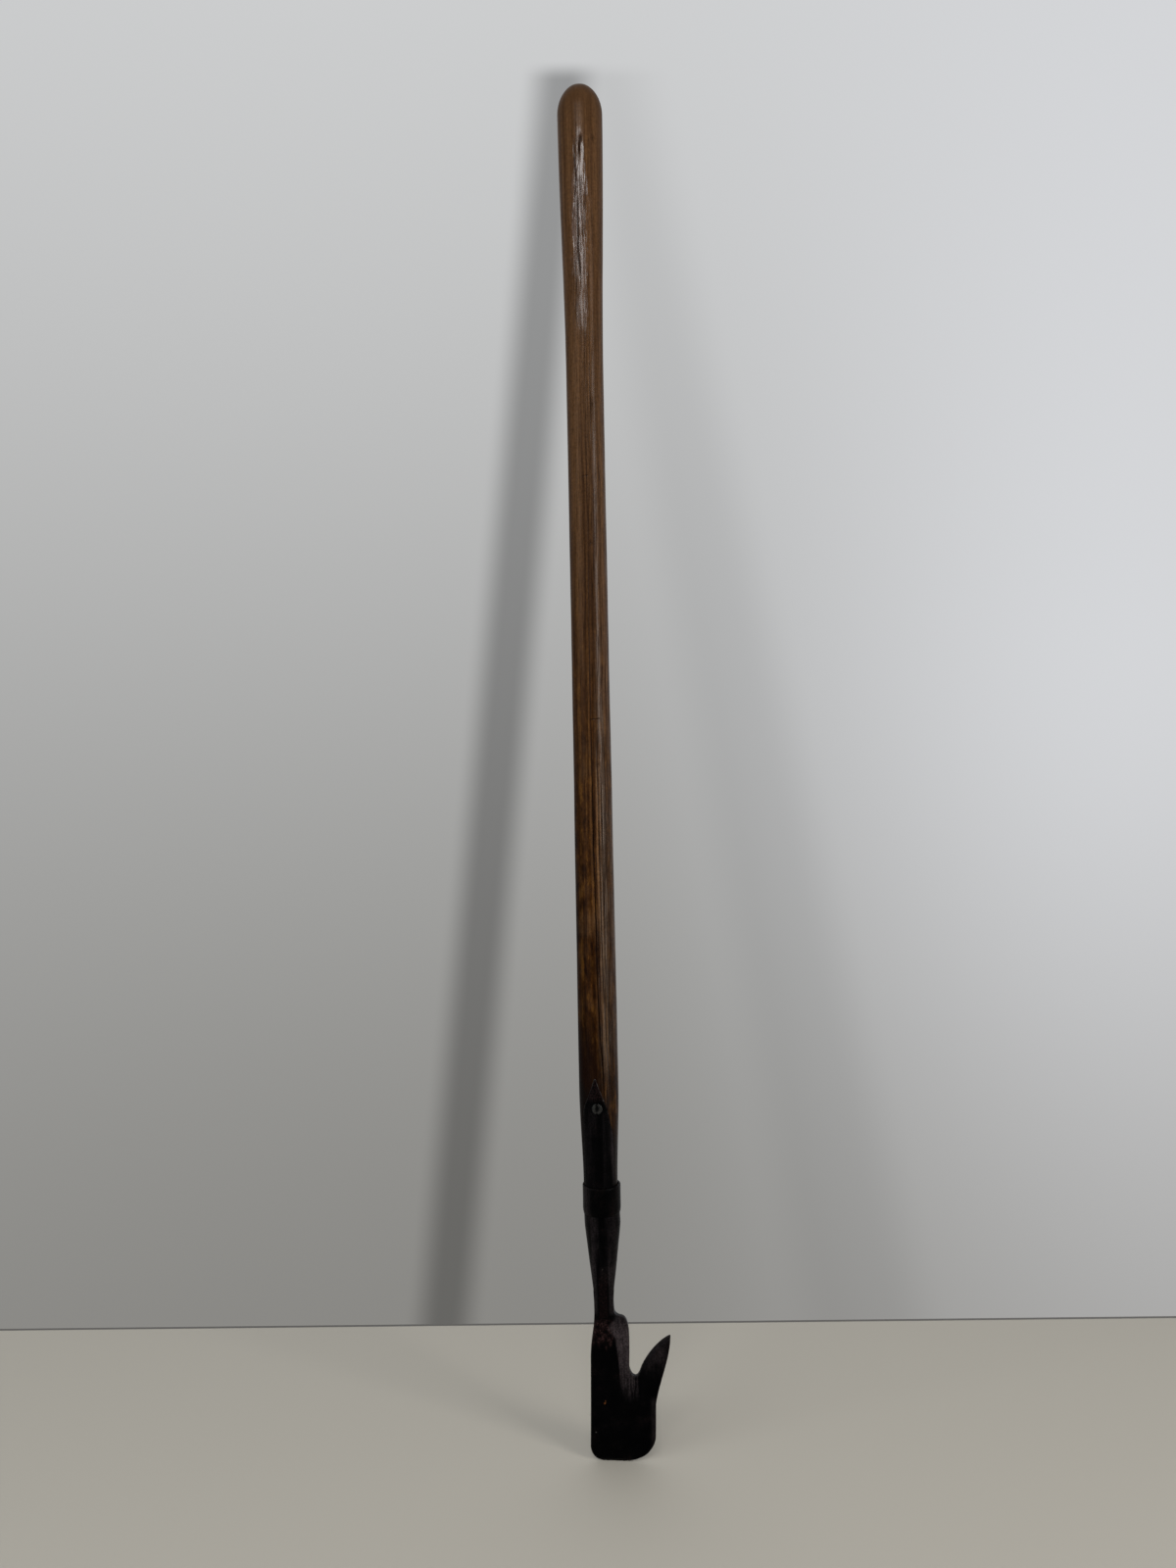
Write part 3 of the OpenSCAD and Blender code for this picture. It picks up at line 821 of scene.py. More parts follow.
body_z = np.concatenate([np.linspace(socket_z, 205, 46), np.linspace(205, langet_foot_z, 24)[1:]])[:, None]
outside = soft_min(cone_r(body_z) + hammered(around, body_z, 0.1), eight_flats(around, body_z), 0.8)
socket_outside = ring_points(outside, around[None, :], body_z)
socket_outside[..., 0] += lean(body_z)
inner_z = np.linspace(nose_z, langet_foot_z, 30)[:, None]
socket_inside = ring_points(bore_r(inner_z) * np.ones_like(around), around[None, :], inner_z)

# %% [markdown]
# A langet is a grid too: rows go across it from its left side to its right, and each point
# is pushed out along the pole's own round. The screw's head lies in a countersink with a
# shallow dish round it, and the rims are worn down a little.

# %% Grids of a langet
head_r = 4.6
screw_at = {False: (-0.5, 311), True: (0, 297)}
dish_r, worn_rim = 6.5, 1.6
leaf_parts = [np.linspace(0, 0.60, 56), np.linspace(0.60, 0.90, 52)[1:], np.linspace(0.9, 1, 18)[1:]]
leaf_shares = np.concatenate(leaf_parts)


def leaf(left, right, inset, drop, back):
    """Rows across a langet from its left side to its right, wrapped on the pole.
    inset moves the sides in along the surface; drop is how far it lies below the outer skin."""
    sides = []
    for line, hand in ((left, -1), (right, 1)):
        at = along(line, leaf_shares)
        run = np.gradient(at, axis=0)
        run /= np.linalg.norm(run, axis=1)[:, None]
        outward = np.stack([hand * run[:, 1], -hand * run[:, 0]], -1)
        outward[0] = [hand, 0]
        outward[-1] = [0, 1]
        sides.append((at - inset * outward)[:, None])
    middle = 0.5 * (sides[0] + sides[1])
    middle[..., 0] *= ease((leaf_shares[:, None] - 0.3) / 0.7)
    share = (np.sin(front_turn) / np.sin(half_turn))[None, :, None]
    flat = np.where(share < 0, mix(middle, sides[0], -share), mix(middle, sides[1], share))
    x, height = flat[..., 0], flat[..., 1]
    skin = wood_r(np.maximum(height, mouth_z)) + langet_proud
    turn = np.arcsin(np.clip(x / skin, -1, 1))
    if drop == 0:
        skin = skin + 0.07 * noise(x / 4.2, height / 7.5, 61) + 0.04 * noise(x / 1.9, height / 3.1, 62)
        screw_x, screw_z = screw_at[back]
        away = np.hypot(x - screw_x, height - screw_z)
        skin = skin - 0.55 * ease((dish_r - away) / 1.9) - 0.9 * ease((head_r - away) / 0.8)
        to_rim = np.minimum(np.abs(x - flat[:, :1, 0]), np.abs(x - flat[:, -1:, 0]))
        skin = skin - 0.12 * ease((worn_rim - to_rim) / worn_rim)
    return ring_points(skin - drop, turn + (np.pi if back else 0), height)


rim_width, rim_drop = 0.6, 0.45
flip = [-1, 1]
leaves = {}
for back, left, right in ((False, front_left, front_right), (True, back_right * flip, back_left * flip)):
    top = leaf(left, right, rim_width, 0, back)
    shoulder = leaf(left, right, 0, rim_drop, back)
    under = leaf(left, right, 0, wall_t, back)
    leaves[back] = (top, shoulder, under)


# %% Sew the socket
def rim_loop(top_row, front_leaf, back_leaf):
    """The open border of a skin: up one side of each langet, down the other, across each slit."""
    n = leaf_cols
    right_slit = top_row[n : n + slit_cols + 1]
    left_slit = np.concatenate([top_row[2 * n + slit_cols :], top_row[:1]])
    front = [front_leaf[:, 0], front_leaf[::-1, n]]
    back = [back_leaf[:, 0], back_leaf[::-1, n]]
    return np.concatenate([*front, right_slit, *back, left_slit])


def closed(row):
    """The row with its first point again at the end."""
    return np.concatenate([row, row[:, :1]], 1)


top_row, inner_row = socket_outside[-1], socket_inside[-1]
mid_row = ring_points(seat_r - rim_drop, around, langet_foot_z)
for b, start in ((False, 0), (True, leaf_cols + slit_cols)):
    leaves[b][0][0] = top_row[start : start + leaf_cols + 1]
    leaves[b][2][0] = inner_row[start : start + leaf_cols + 1]
loop_out = rim_loop(top_row, leaves[False][0], leaves[True][0])
loop_mid = rim_loop(mid_row, leaves[False][1], leaves[True][1])
loop_in = rim_loop(inner_row, leaves[False][2], leaves[True][2])
foot_disc = disc(outside[0], around[None, :], socket_z)
foot_disc[..., 0] += lean(socket_z)
bore_disc = disc(nose_r, around[None, :], nose_z)
socket_grids = [closed(socket_outside), closed(socket_inside), closed(foot_disc), closed(bore_disc)]
socket_grids += [leaves[False][0], leaves[True][0], leaves[False][2], leaves[True][2]]
socket_grids += [np.stack([loop_out, loop_mid]), np.stack([loop_mid, loop_in])]

# The rims of the langets are worn towards their tips: on the borders of the two outer
# leaves, and on the rim strip down to its lower line.
outer_leaves, rim_strips = (4, 5), (8, 9)
worn = [np.zeros(g.shape[:2]) for g in socket_grids]
for n in (*outer_leaves, *rim_strips):
    worn[n] = 0.8 * ease((socket_grids[n][..., 2] - 302) / 8)
for n in outer_leaves:
    worn[n][:, 1:-1] = 0
worn[rim_strips[1]][1] = 0
socket_marks = iron_marks(socket_grids, worn)
make_piece("forged_socket", "socket", "forged_iron", socket_grids, socket_marks, crease=30)

# %% [markdown]
# ## The ring
#
# A band shrunk over the mouth holds the langets down. It is a rounded strip carried round
# the socket; its lower edge is hammered down until it nearly melts into the iron below.

# %% Make the ring
ring_turn = np.linspace(-np.pi, np.pi, 161)[None, :]
ring_in, ring_out, ring_top = seat_r + 0.05, 16.55, mouth_z
section = np.array([
    [ring_in, ring_low_z + 0.3],
    [ring_in, ring_top - 0.2],
    [ring_in + 0.25, ring_top],
    [ring_out - 0.45, ring_top],
    [ring_out - 0.1, ring_top - 0.25],
    [ring_out, ring_top - 0.8],
    [ring_out, ring_low_z + 5],
    [ring_out - 0.25, ring_low_z + 2.2],
    [seat_r + 0.75, ring_low_z + 0.2],
    [seat_r + 0.4, ring_low_z],
    [ring_in, ring_low_z + 0.3],
])
section = along(section, np.linspace(0, 1, 61))
ring_r, ring_z = section[:, :1], section[:, 1:]
outer_share = ease((ring_r - ring_in - 0.2) / 0.8)
ring_shape = ring_r + outer_share * (hammered(ring_turn, ring_z, 0.10) + 0.7 * np.sin(ring_turn))
wavy_top = 0.25 * noise(ring_turn * 7 / (2 * np.pi), 0.5, 71, 7)
ring_height = ring_z + wavy_top * ease((ring_z - ring_low_z - 12) / 12)
ring_grid = ring_points(ring_shape, ring_turn, ring_height)

# The upper rim is rubbed bright. The left and right flanks are a little paler: a painted
# highlight where the side lights catch them.
top_rim = 0.2 * ease((ring_r - ring_out + 0.6) / 0.5) * ease(1 - np.abs(ring_z - ring_top + 0.4))
ring_x = ring_grid[..., 0]
flank_highlight = 0.28 * ease((-6 - ring_x) / 7) + 0.04 * ease((ring_x - 8) / 6)
ring_marks = {"wear": [top_rim * np.ones_like(ring_turn)], "pale": [flank_highlight]}
make_piece("shrunk_ring", "collar", "collar_iron", [ring_grid], ring_marks, crease=40)

# %% [markdown]
# ## The neck
#
# Between socket and blade the bar is forged to eight flats. It uses the same rule for its
# flats as the foot of the socket, so the faces run on without a step.

# %% Make the neck
neck_low, neck_high, root_flare = 132.0, 150.0, 0.5
neck_turn = np.linspace(-np.pi, np.pi, 145)[None, :]
neck_rows = np.linspace(neck_low, neck_high, 22)[:, None]
round_r = np.interp(neck_rows, [132, 142, 150], [12, 11, 9.3]) + hammered(neck_turn, neck_rows, 0.1)
neck_r = soft_min(eight_flats(neck_turn, neck_rows), round_r, 0.8)
neck_ends = [disc(neck_r[0], neck_turn, neck_low), disc(neck_r[-1], neck_turn, neck_high)]
neck_grids = [ring_points(neck_r, neck_turn, neck_rows), *neck_ends]
for grid in neck_grids:
    flare = root_flare * ease((141 - grid[..., 2]) / 9) ** 2
    grid[..., 0] += lean(grid[..., 2]) + flare * np.clip(grid[..., 0] / neck_x, 0, 1) ** 2
neck_marks = iron_marks(neck_grids, [np.zeros(g.shape[:2]) for g in neck_grids])
make_piece("forged_neck", "neck", "forged_iron", neck_grids, neck_marks, crease=30)

# %% [markdown]
# ## The blade
#
# The blade is a flat plate with a hook drawn out on the right. Its outline is cut into
# three patches that meet under the notch: the wide foot, the side below the neck, and the
# hook. In each patch a grid is stretched between four border lines: each point is the
# blend of left and right lines, plus the blend of low and high lines, less the blend of
# the corners. Then every grid point is lifted to the front and back faces.

# %% Outline of the blade
blade_left, blade_right, left_corner = 13.1, 44.0, 13.0
shoulder_x, notch_x, notch_z, notch_rim = 21.9, 31.7, 75.0, 81.0
hook_x, hook_z, hip_z = 58.2, 110.8, 50.0
neck_left, neck_right = neck_lean - neck_x, neck_lean + neck_x + root_flare
straight_x = 1.5 - blade_left
crossing = np.array([27.2, notch_z - 0.4])

# Foot and left side, with the corner between them as an arc.
left_arc = arc([left_corner - blade_left, left_corner], left_corner, 180, 270, 40)
left_rise = curve([straight_x, 84], [straight_x, 109], [neck_left, 114], [neck_left, neck_low], 30)
left_edge = np.concatenate([left_arc[20::-1], left_rise])
right_arc = curve([10, 0], [26, 0.2], [blade_right, 6], [blade_right, 24], 60)
bottom_edge = np.concatenate([left_arc[20:], right_arc[:38]])

# Right side, up the back of the hook to its tip.
hip, below_tip, tip = [blade_right + 0.6, hip_z], [hook_x, hook_z - 2], [hook_x - 0.5, hook_z - 0.1]
hook_back = curve(hip, [blade_right + 3, hip_z + 18], [hook_x - 0.7, hook_z - 21], below_tip, 40)
hook_tip = curve(below_tip, [hook_x + 0.1, hook_z - 0.9], [hook_x - 0.1, hook_z - 0.2], tip, 6)
right_edge = np.concatenate([right_arc[37:], hook_back, hook_tip[1:]])

# Down the inside of the hook to the foot of the notch.
notch = [notch_x, notch_rim]
hook_front = curve(tip, [hook_x - 11, hook_z - 4.6], [notch_x + 3.5, notch_rim + 10], notch, 50)
notch_right = curve(notch, [notch_x - 1.6, notch_z + 1.0], [notch_x - 3.0, notch_z - 0.4], crossing, 14)
hook_inside = np.concatenate([hook_front, notch_right[1:]])

# Up the other side of the notch, over the shoulder and in to the neck.
shoulder_end, root = [15.2, 126.8], [neck_right, neck_low]
notch_left = curve(crossing, [24.4, notch_z - 0.4], [22.8, notch_z + 3], [shoulder_x, notch_rim + 1], 14)
side_up = curve([shoulder_x + 0.4, 98], [shoulder_x + 0.9, 121], [shoulder_x - 1.2, 126], shoulder_end, 30)
into_neck = curve(shoulder_end, [12.2, 127.1], [neck_right + 0.2, 128.6], root, 14)
shoulder_edge = np.concatenate([notch_left, side_up, into_neck[1:]])
seam_left_z, seam_right_z = 60.0, 62.0


def cut(line, height, keep_low):
    """The part of an upright line below or above a height, with a point on the cut."""
    on_cut = np.array([[np.interp(height, line[:, 1], line[:, 0]), height]])
    low, high = line[line[:, 1] < height - 0.01], line[line[:, 1] > height + 0.01]
    return np.concatenate([low, on_cut]) if keep_low else np.concatenate([on_cut, high])


left_low, left_high = cut(left_edge, seam_left_z, True), cut(left_edge, seam_left_z, False)
right_low, right_high = cut(right_edge, seam_right_z, True), cut(right_edge, seam_right_z, False)
seam_a = curve(left_high[0], left_high[0] + [16, 2], crossing + [-7, -6], crossing, 40)
seam_b = curve(crossing, crossing + [5, -5], right_high[0] + [-8, -1], right_high[0], 40)


# %% Patches of the blade
def stretch(low, high, left, right):
    """Blend of left and right plus blend of low and high less blend of the corners."""
    u = np.linspace(0, 1, len(low))[None, :, None]
    v = np.linspace(0, 1, len(left))[:, None, None]
    sides = mix(left[:, None], right[:, None], u)
    ends = mix(low[None], high[None], v)
    corners = mix(mix(low[0], low[-1], u), mix(high[0], high[-1], u), v)
    return sides + ends - corners


def crowded(count):
    """Shares from 0 to 1 that crowd together at the ends, some evenly and most by a cosine."""
    even = np.linspace(0, 1, count)
    return mix(even, (1 - np.cos(np.pi * even)) / 2, 0.85)


side_a, side_b, low_rows, high_rows, hook_rows = 56, 36, 78, 90, 64
share_a, share_b = crowded(side_a), crowded(side_b)
foot_share = crowded(low_rows)
top_a, top_b = along(seam_a, share_a), along(seam_b, share_b)
foot_top = np.concatenate([top_a, top_b[1:]])
foot_low = along(bottom_edge, np.concatenate([share_a * 0.55, 0.55 + 0.45 * share_b[1:]]))
foot_patch = stretch(foot_low, foot_top, along(left_low, foot_share), along(right_low, foot_share))
neck_line = np.array([[neck_left, neck_low], [neck_right, neck_low]])
even_rows = np.linspace(0, 1, high_rows)
side_left, side_right = along(left_high, even_rows), along(shoulder_edge, even_rows)
side_patch = stretch(top_a, along(neck_line, share_a), side_left, side_right)
hook_share = crowded(hook_rows)
hook_end = np.repeat(hook_inside[:1], side_b, 0)
hook_patch = stretch(top_b, hook_end, along(hook_inside[::-1], hook_share), along(right_high, hook_share))
print("points on a face of the blade:", sum(p[..., 0].size for p in (foot_patch, side_patch, hook_patch)))

# %% [markdown]
# The faces are worked out from a few rules. The plate thins to the cutting edge in a long
# bevel behind and a short one in front. The spine carries the neck's depth down the blade,
# with a flat on the left and a long slope to the right. The hook's inner edge is ground on
# both sides, and the outer edges are chamfered by wear.

# %% Heights of the faces
def distance_to(points, line):
    """Shortest distance from each point to a line of short straight steps."""
    flat = points.reshape(-1, 2)
    a, step = line[:-1], np.diff(line, axis=0)
    long = np.maximum((step**2).sum(1), 1e-9)
    t = np.clip(((flat[:, None] - a) * step).sum(-1) / long, 0, 1)
    gap = flat[:, None] - a - t[..., None] * step
    return np.sqrt((gap**2).sum(-1).min(1)).reshape(points.shape[:-1])


edge_t, low_t, high_t = 0.5, 4.4, 5.6
ridge_in_front = ([40, 53, 68, 84, 99, 109, 118, 124, neck_low], [26, 18.5, 14, 13, 11.6, 9.0, 3.2, 3.6, 4.2])
ridge_behind = ([44, 118, neck_low], [8, 3.5, 4.2])


def plate_half(z, bevel):
    """Half thickness of the plate at each height, from the cutting edge up."""
    heights = [0, bevel, bevel + 1.5, notch_z, neck_low]
    return np.interp(z, heights, [edge_t / 2, low_t / 2 - 0.1, low_t / 2, high_t / 2, high_t / 2])


def spine_half(x, z, front):
    """Half depth of the spine: the lesser of its top and the long slope to the right of its ridge."""
    top = np.interp(z, [44, neck_low], [low_t / 2, neck_y])
    ridge = np.interp(z, *(ridge_in_front if front else ridge_behind))
    far_side = np.interp(z, [118, 120, 124, 127, neck_low], [shoulder_x + 0.8, shoulder_x, 17.5, 13, 9.3])
    slope = (top - high_t / 2) / np.maximum(far_side - ridge, 4)
    right_slope = top - slope * (x - ridge)
    return soft_min(top, right_slope, 0.5)


def face_height(points, front):
    """Distance of a face from the middle plane of the blade, with its edges eased off:
    the plate or the spine, whichever is thicker, less a slope for each worn or ground edge."""
    x, z = points[..., 0], points[..., 1]
    height = soft_max(plate_half(z, 3.0 if front else 13.0), spine_half(x, z, front), 0.8)
    to_left, to_low = distance_to(points, left_edge), distance_to(points, bottom_edge)
    to_right, to_hook = distance_to(points, right_edge), distance_to(points, hook_inside)
    to_shoulder = distance_to(points, shoulder_edge)

    corner_w = np.interp(z, [14, 22, 108, neck_low], [1.2, 1.9, 2.3, 4.3])
    corner_slope = np.interp(z, [14, 22, 108, neck_low], [0.1, 0.45, 0.7, 1.0])
    height = height - corner_slope * soft_max(corner_w - to_left, 0 * z, 0.4)
    height = height - 0.55 * np.clip(3.4 - to_hook, 0, None) * ease((z - 76) / 10)
    right_bevel = (0.42 if front else 0.2) * np.clip(2.8 - to_right, 0, None)
    height = height - right_bevel * ease((z - 6) / 6) * ease((62 - z) / 16)
    chamfer = 0.3 * np.clip(1.2 - np.minimum(to_right, to_shoulder), 0, None)
    height = height - chamfer * ease((z - 50) / 10) * ease((129 - z) / 5)

    big_dents, small_dents = (82, 84) if front else (83, 85)
    uneven = 0.10 * noise(x / 7, z / 8, big_dents) + 0.04 * noise(x / 3, z / 3.4, small_dents)
    if front:
        uneven = uneven + 0.10 * noise(x / 1.5, z / 16, 81) * hill(x, 22, 12) * hill(z, 66, 22)
    away = np.minimum.reduce([to_left, to_low, to_right, to_hook, to_shoulder])
    height = height + uneven * ease(away / 3) * ease((neck_low - z) / 8) * ease(z / 10)
    height = np.maximum(height, edge_t / 2)
    soft = np.minimum(0.6, 0.7 * height) * ease((neck_low + 1 - z) / 4)
    round_off = soft - np.sqrt(np.clip(soft**2 - np.clip(soft - away, 0, None) ** 2, 0, None))
    return height - np.where(z > 4, round_off, round_off * ease(z / 4)), away


# %% [markdown]
# The front and back faces share their outline. Along each border a strip of straight steps
# from the front to the back closes the blade. The list of borders also says how bright
# each one is rubbed: most at the cutting edge, not at all where the neck is welded on.

# %% Make the blade
blade_grids, blade_wear, border = [], [], {}
for side, front in ((-1, True), (1, False)):
    for label, flat in (("foot", foot_patch), ("side", side_patch), ("hook", hook_patch)):
        height, away = face_height(flat, front)
        border[label, front] = np.stack([flat[..., 0], side * height, flat[..., 1]], -1)
        blade_grids.append(border[label, front])
        blade_wear.append(0.6 * (ease(1 - away / 1.1) * ease((126 - flat[..., 1]) / 6)))

borders = [
    ("foot", np.s_[0], 0.5),
    ("foot", np.s_[:, 0], 0.2),
    ("foot", np.s_[:, -1], 0.4),
    ("side", np.s_[:, 0], 0.2),
    ("side", np.s_[:, -1], 0.4),
    ("side", np.s_[-1], 0.0),
    ("hook", np.s_[:, 0], 0.4),
    ("hook", np.s_[:, -1], 0.4),
]
steps = np.linspace(0, 1, 5)[:, None, None]
for label, line, rubbed_share in borders:
    strip = mix(border[label, True][line][None], border[label, False][line][None], steps)
    blade_grids.append(strip)
    blade_wear.append(np.full(strip.shape[:2], rubbed_share))
blade_marks = iron_marks(blade_grids, blade_wear)
make_piece("hooked_blade", "blade", "forged_iron", blade_grids, blade_marks, crease=38)

# %% [markdown]
# ## The screws
#
# Each langet is held by one slotted wood screw. The head is a grid whose columns lie along
# the slot, so the slot has straight walls. Below it the rim narrows to the shank, and the
# thread is a ridge that climbs one pitch for each turn.

# %% Shape of a screw
shank_r, screw_len, thread_len, pitch = 2.4, 20.0, 12.0, 1.9
slot_half, slot_deep = 0.55, 0.9


def screw_grids():
    """Head, cone, shank and thread of a screw that points down from its head at height 0."""
    half = mix(slot_half + 0.06, head_r, np.sin(np.linspace(0, np.pi / 2, 12)))
    across = np.concatenate([-half[::-1], [-slot_half, -slot_half * 0.4, slot_half * 0.4, slot_half], half])
    in_slot = np.abs(across) <= slot_half + 0.01
    rim_r = np.where(in_slot, head_r - 0.5 * slot_deep, head_r)
    chord = np.sqrt(np.clip(rim_r**2 - across**2, 0, None))
    share = np.sin(np.linspace(-np.pi / 2, np.pi / 2, 23))[:, None]
    u, v = np.repeat(across[None], len(share), 0), share * chord[None]
    dome = 0.30 * (1 - (u**2 + v**2) / head_r**2) - 0.25 * ease((np.hypot(u, v) - head_r + 0.5) / 0.5)
    scratches = 0.03 * noise(u * 1.3, v * 1.3, 91)
    top = np.where(in_slot[None], -slot_deep, dome + scratches)
    head = np.stack([u, v, top], -1)
    rim = np.concatenate([head[-1], head[0][::-1]])
    rim = np.concatenate([rim, rim[:1]])

    turn = np.unwrap(np.arctan2(rim[:, 1], rim[:, 0]))
    thread_at = screw_len - thread_len
    shank_rows, thread_rows = np.linspace(2.2, thread_at, 6), np.linspace(thread_at, screw_len - 0.6, 72)
    depth = np.concatenate([[0.9], shank_rows, thread_rows[1:], [screw_len]])[:, None]
    places = [0.0, 2.4, thread_at, screw_len - 3, screw_len]
    body_r = np.interp(depth, places, [head_r, shank_r, shank_r, 1.7, 0.05])
    ridge = np.abs(((depth / pitch + turn / (2 * np.pi)) % 1) - 0.5) * 2
    thread = 0.42 * (ridge - 0.5) * ease((depth - thread_at) / 1.5) * ease((screw_len - depth) / 2.5)
    body_r = body_r + thread
    skirt = np.stack([body_r * np.cos(turn), body_r * np.sin(turn), -depth + 0 * turn], -1)
    end = np.stack([0 * turn, 0 * turn, np.full_like(turn, -screw_len)], -1)[None]
    return head, np.concatenate([rim[None], skirt, end])


def place_screw(grid, centre_x, centre_z, slot_turn, facing):
    """Turns the slot, then lays the screw's axis along the depth of the tool."""
    slot_turn = np.radians(slot_turn)
    u, v, h = grid[..., 0], grid[..., 1], grid[..., 2]
    across = u * np.cos(slot_turn) - v * np.sin(slot_turn)
    up = u * np.sin(slot_turn) + v * np.cos(slot_turn)
    face = wood_r(np.array(float(centre_z))) + langet_proud - 0.42
    return np.stack([centre_x + across * facing, -facing * (face + h), centre_z + up], -1)


# %% Make the screws
screws = [
    ("front_wood_screw", "front_screw", screw_at[False], -4, 1),
    ("back_wood_screw", "back_screw", screw_at[True], -20, -1),
]
for name, node, (at_x, at_z), slot_turn, facing in screws:
    grids = [place_screw(g, at_x, at_z, slot_turn, facing) for g in screw_grids()]
    from_axis = [np.hypot(g[..., 0] - at_x, g[..., 2] - at_z) for g in grids]
    rubbed_rim = [hill(away, 3.3, 2.2) for away in from_axis]
    make_piece(name, node, "screw_steel", grids, {"wear": rubbed_rim}, crease=30)

# %% [markdown]
# ## Finishes
#
# Every colour comes from patterns worked out by nodes in Object coordinates, which are
# metres in the tool's own frame. Patterns that more than one finish uses are node groups:
# long fibres, cloudy mottling and rubbed edges. The shaders stay in the finishes.

# %% Helpers for the finishes
def noise_node(tree, place, scale, detail, rough=0.5):
    """The number of a noise texture at a place."""
    into = {"Vector": place, "Scale": scale, "Detail": detail, "Roughness": rough}
    return add(tree, "TexNoise", into).outputs[0]


def attribute(tree, name):
    """A number that the mesh carries at each point."""
    return add(tree, "Attribute", attribute_name=name).outputs["Fac"]


def ramp(tree, value, stops):
    """Colour that changes through the stops in order, each a place from 0 to 1 and a colour."""
    node = add(tree, "ValToRGB", {"Fac": value})
    node.color_ramp.interpolation = "EASE"
    for place, _ in stops[1:-1]:
        node.color_ramp.elements.new(place)
    for element, (place, colour) in zip(node.color_ramp.elements, stops):
        element.position = place
        element.color = (*colour, 1)
    return node.outputs["Color"]


FLOAT, VECTOR = "NodeSocketFloat", "NodeSocketVector"


def new_group(name, inputs, outputs):
    """An empty node group: inputs are a name, kind and usual value each, outputs are numbers."""
    tree = bpy.data.node_groups.new(name, "ShaderNodeTree")
    for label, kind, value in inputs:
        socket = tree.interface.new_socket(label, in_out="INPUT", socket_type=kind)
        if value is not None:
            socket.default_value = value
    for label in outputs:
        tree.interface.new_socket(label, in_out="OUTPUT", socket_type=FLOAT)
    given, out = tree.nodes.new("NodeGroupInput"), tree.nodes.new("NodeGroupOutput")
    return tree, given.outputs, out.inputs


def place_group(tree, group, into):
    """A copy of a node group inside a finish."""
    return add(tree, "Group", into, node_tree=group).outputs


# %% [markdown]
# Long fibres are noise that is fine across and stretched along the tool. A second, slower
# noise bends them a little. The group gives four readings of them. Streak is 1 in the
# lower part of the noise, as the open pores of ash are. Line is 1 only near its middle
# value, which draws thin closed lines. Wide is the noise itself, and Fine a finer one.

# %% Node group: long fibres
fibres, given, out = new_group(
    "long_fibres",
    [("Place", VECTOR, None), ("Across", FLOAT, 900.0), ("Along", FLOAT, 12.0), ("Thin", FLOAT, 0.5)],
    ["Streak", "Fine", "Wide", "Line"],
)
bend = add(fibres, "TexNoise", {"Vector": given["Place"], "Scale": 9.0, "Detail": 1.0}).outputs["Color"]
shift = vector_math(fibres, "SUBTRACT", bend, (0.5, 0.5, 0.5))[0]
shift = vector_math(fibres, "MULTIPLY", shift, (0.004, 0.004, 0.0))[0]
bent = vector_math(fibres, "ADD", given["Place"], shift)[0]
apart = add(fibres, "SeparateXYZ", {0: bent}).outputs
wide_x = times(fibres, apart["X"], given["Across"])
wide_y = times(fibres, apart["Y"], given["Across"])
long_z = times(fibres, apart["Z"], given["Along"])
drawn = add(fibres, "CombineXYZ", {"X": wide_x, "Y": wide_y, "Z": long_z}).outputs[0]
coarse = noise_node(fibres, drawn, 1.0, 3.0, 0.6)
fine = noise_node(fibres, vector_math(fibres, "MULTIPLY", drawn, (3.1, 3.1, 2.3))[0], 1.0, 2.0)
streak = spread_out(fibres, coarse, given["Thin"], math_node(fibres, "SUBTRACT", given["Thin"], 0.12))
from_middle = math_node(fibres, "ABSOLUTE", math_node(fibres, "SUBTRACT", coarse, 0.5))
thin_line = spread_out(fibres, from_middle, 0.022, 0.004)
for source, label in ((streak, "Streak"), (fine, "Fine"), (coarse, "Wide"), (thin_line, "Line")):
    fibres.links.new(source, out[label])

# %% [markdown]
# Mottling is two noises: broad clouds, as of dirt and handling, and small specks, as of
# rust and scale. Both keep their size in millimetres on every piece. Pits are the dips of
# a scatter of cells, for the skin of forged iron.

# %% Node group: mottling
mottle, given, out = new_group(
    "mottling",
    [("Place", VECTOR, None), ("Cloud size", FLOAT, 60.0), ("Speck size", FLOAT, 700.0)],
    ["Cloud", "Speck", "Pits"],
)
cloud = noise_node(mottle, given["Place"], given["Cloud size"], 4.0, 0.6)
speck = noise_node(mottle, given["Place"], given["Speck size"], 3.0, 0.65)
pit_scale = times(mottle, given["Speck size"], 0.7)
pits = add(mottle, "TexVoronoi", {"Vector": given["Place"], "Scale": pit_scale, "Randomness": 1.0})
pit_depth = spread_out(mottle, pits.outputs["Distance"], 0.0, 0.45)
for source, label in ((cloud, "Cloud"), (speck, "Speck"), (pit_depth, "Pits")):
    mottle.links.new(source, out[label])

# %% [markdown]
# Rubbed edges follow the attribute that each piece carries on its worn rims, broken up by
# fine noise so that the bright line comes and goes.

# %% Node group: rubbed edges
rubbed, given, out = new_group(
    "rubbed_edges",
    [("Place", VECTOR, None), ("Wear", FLOAT, 0.0), ("Break up", FLOAT, 350.0)],
    ["Bare"],
)
gaps = noise_node(rubbed, given["Place"], given["Break up"], 3.0)
rubbed.links.new(times(rubbed, given["Wear"], spread_out(rubbed, gaps, 0.32, 0.62)), out["Bare"])

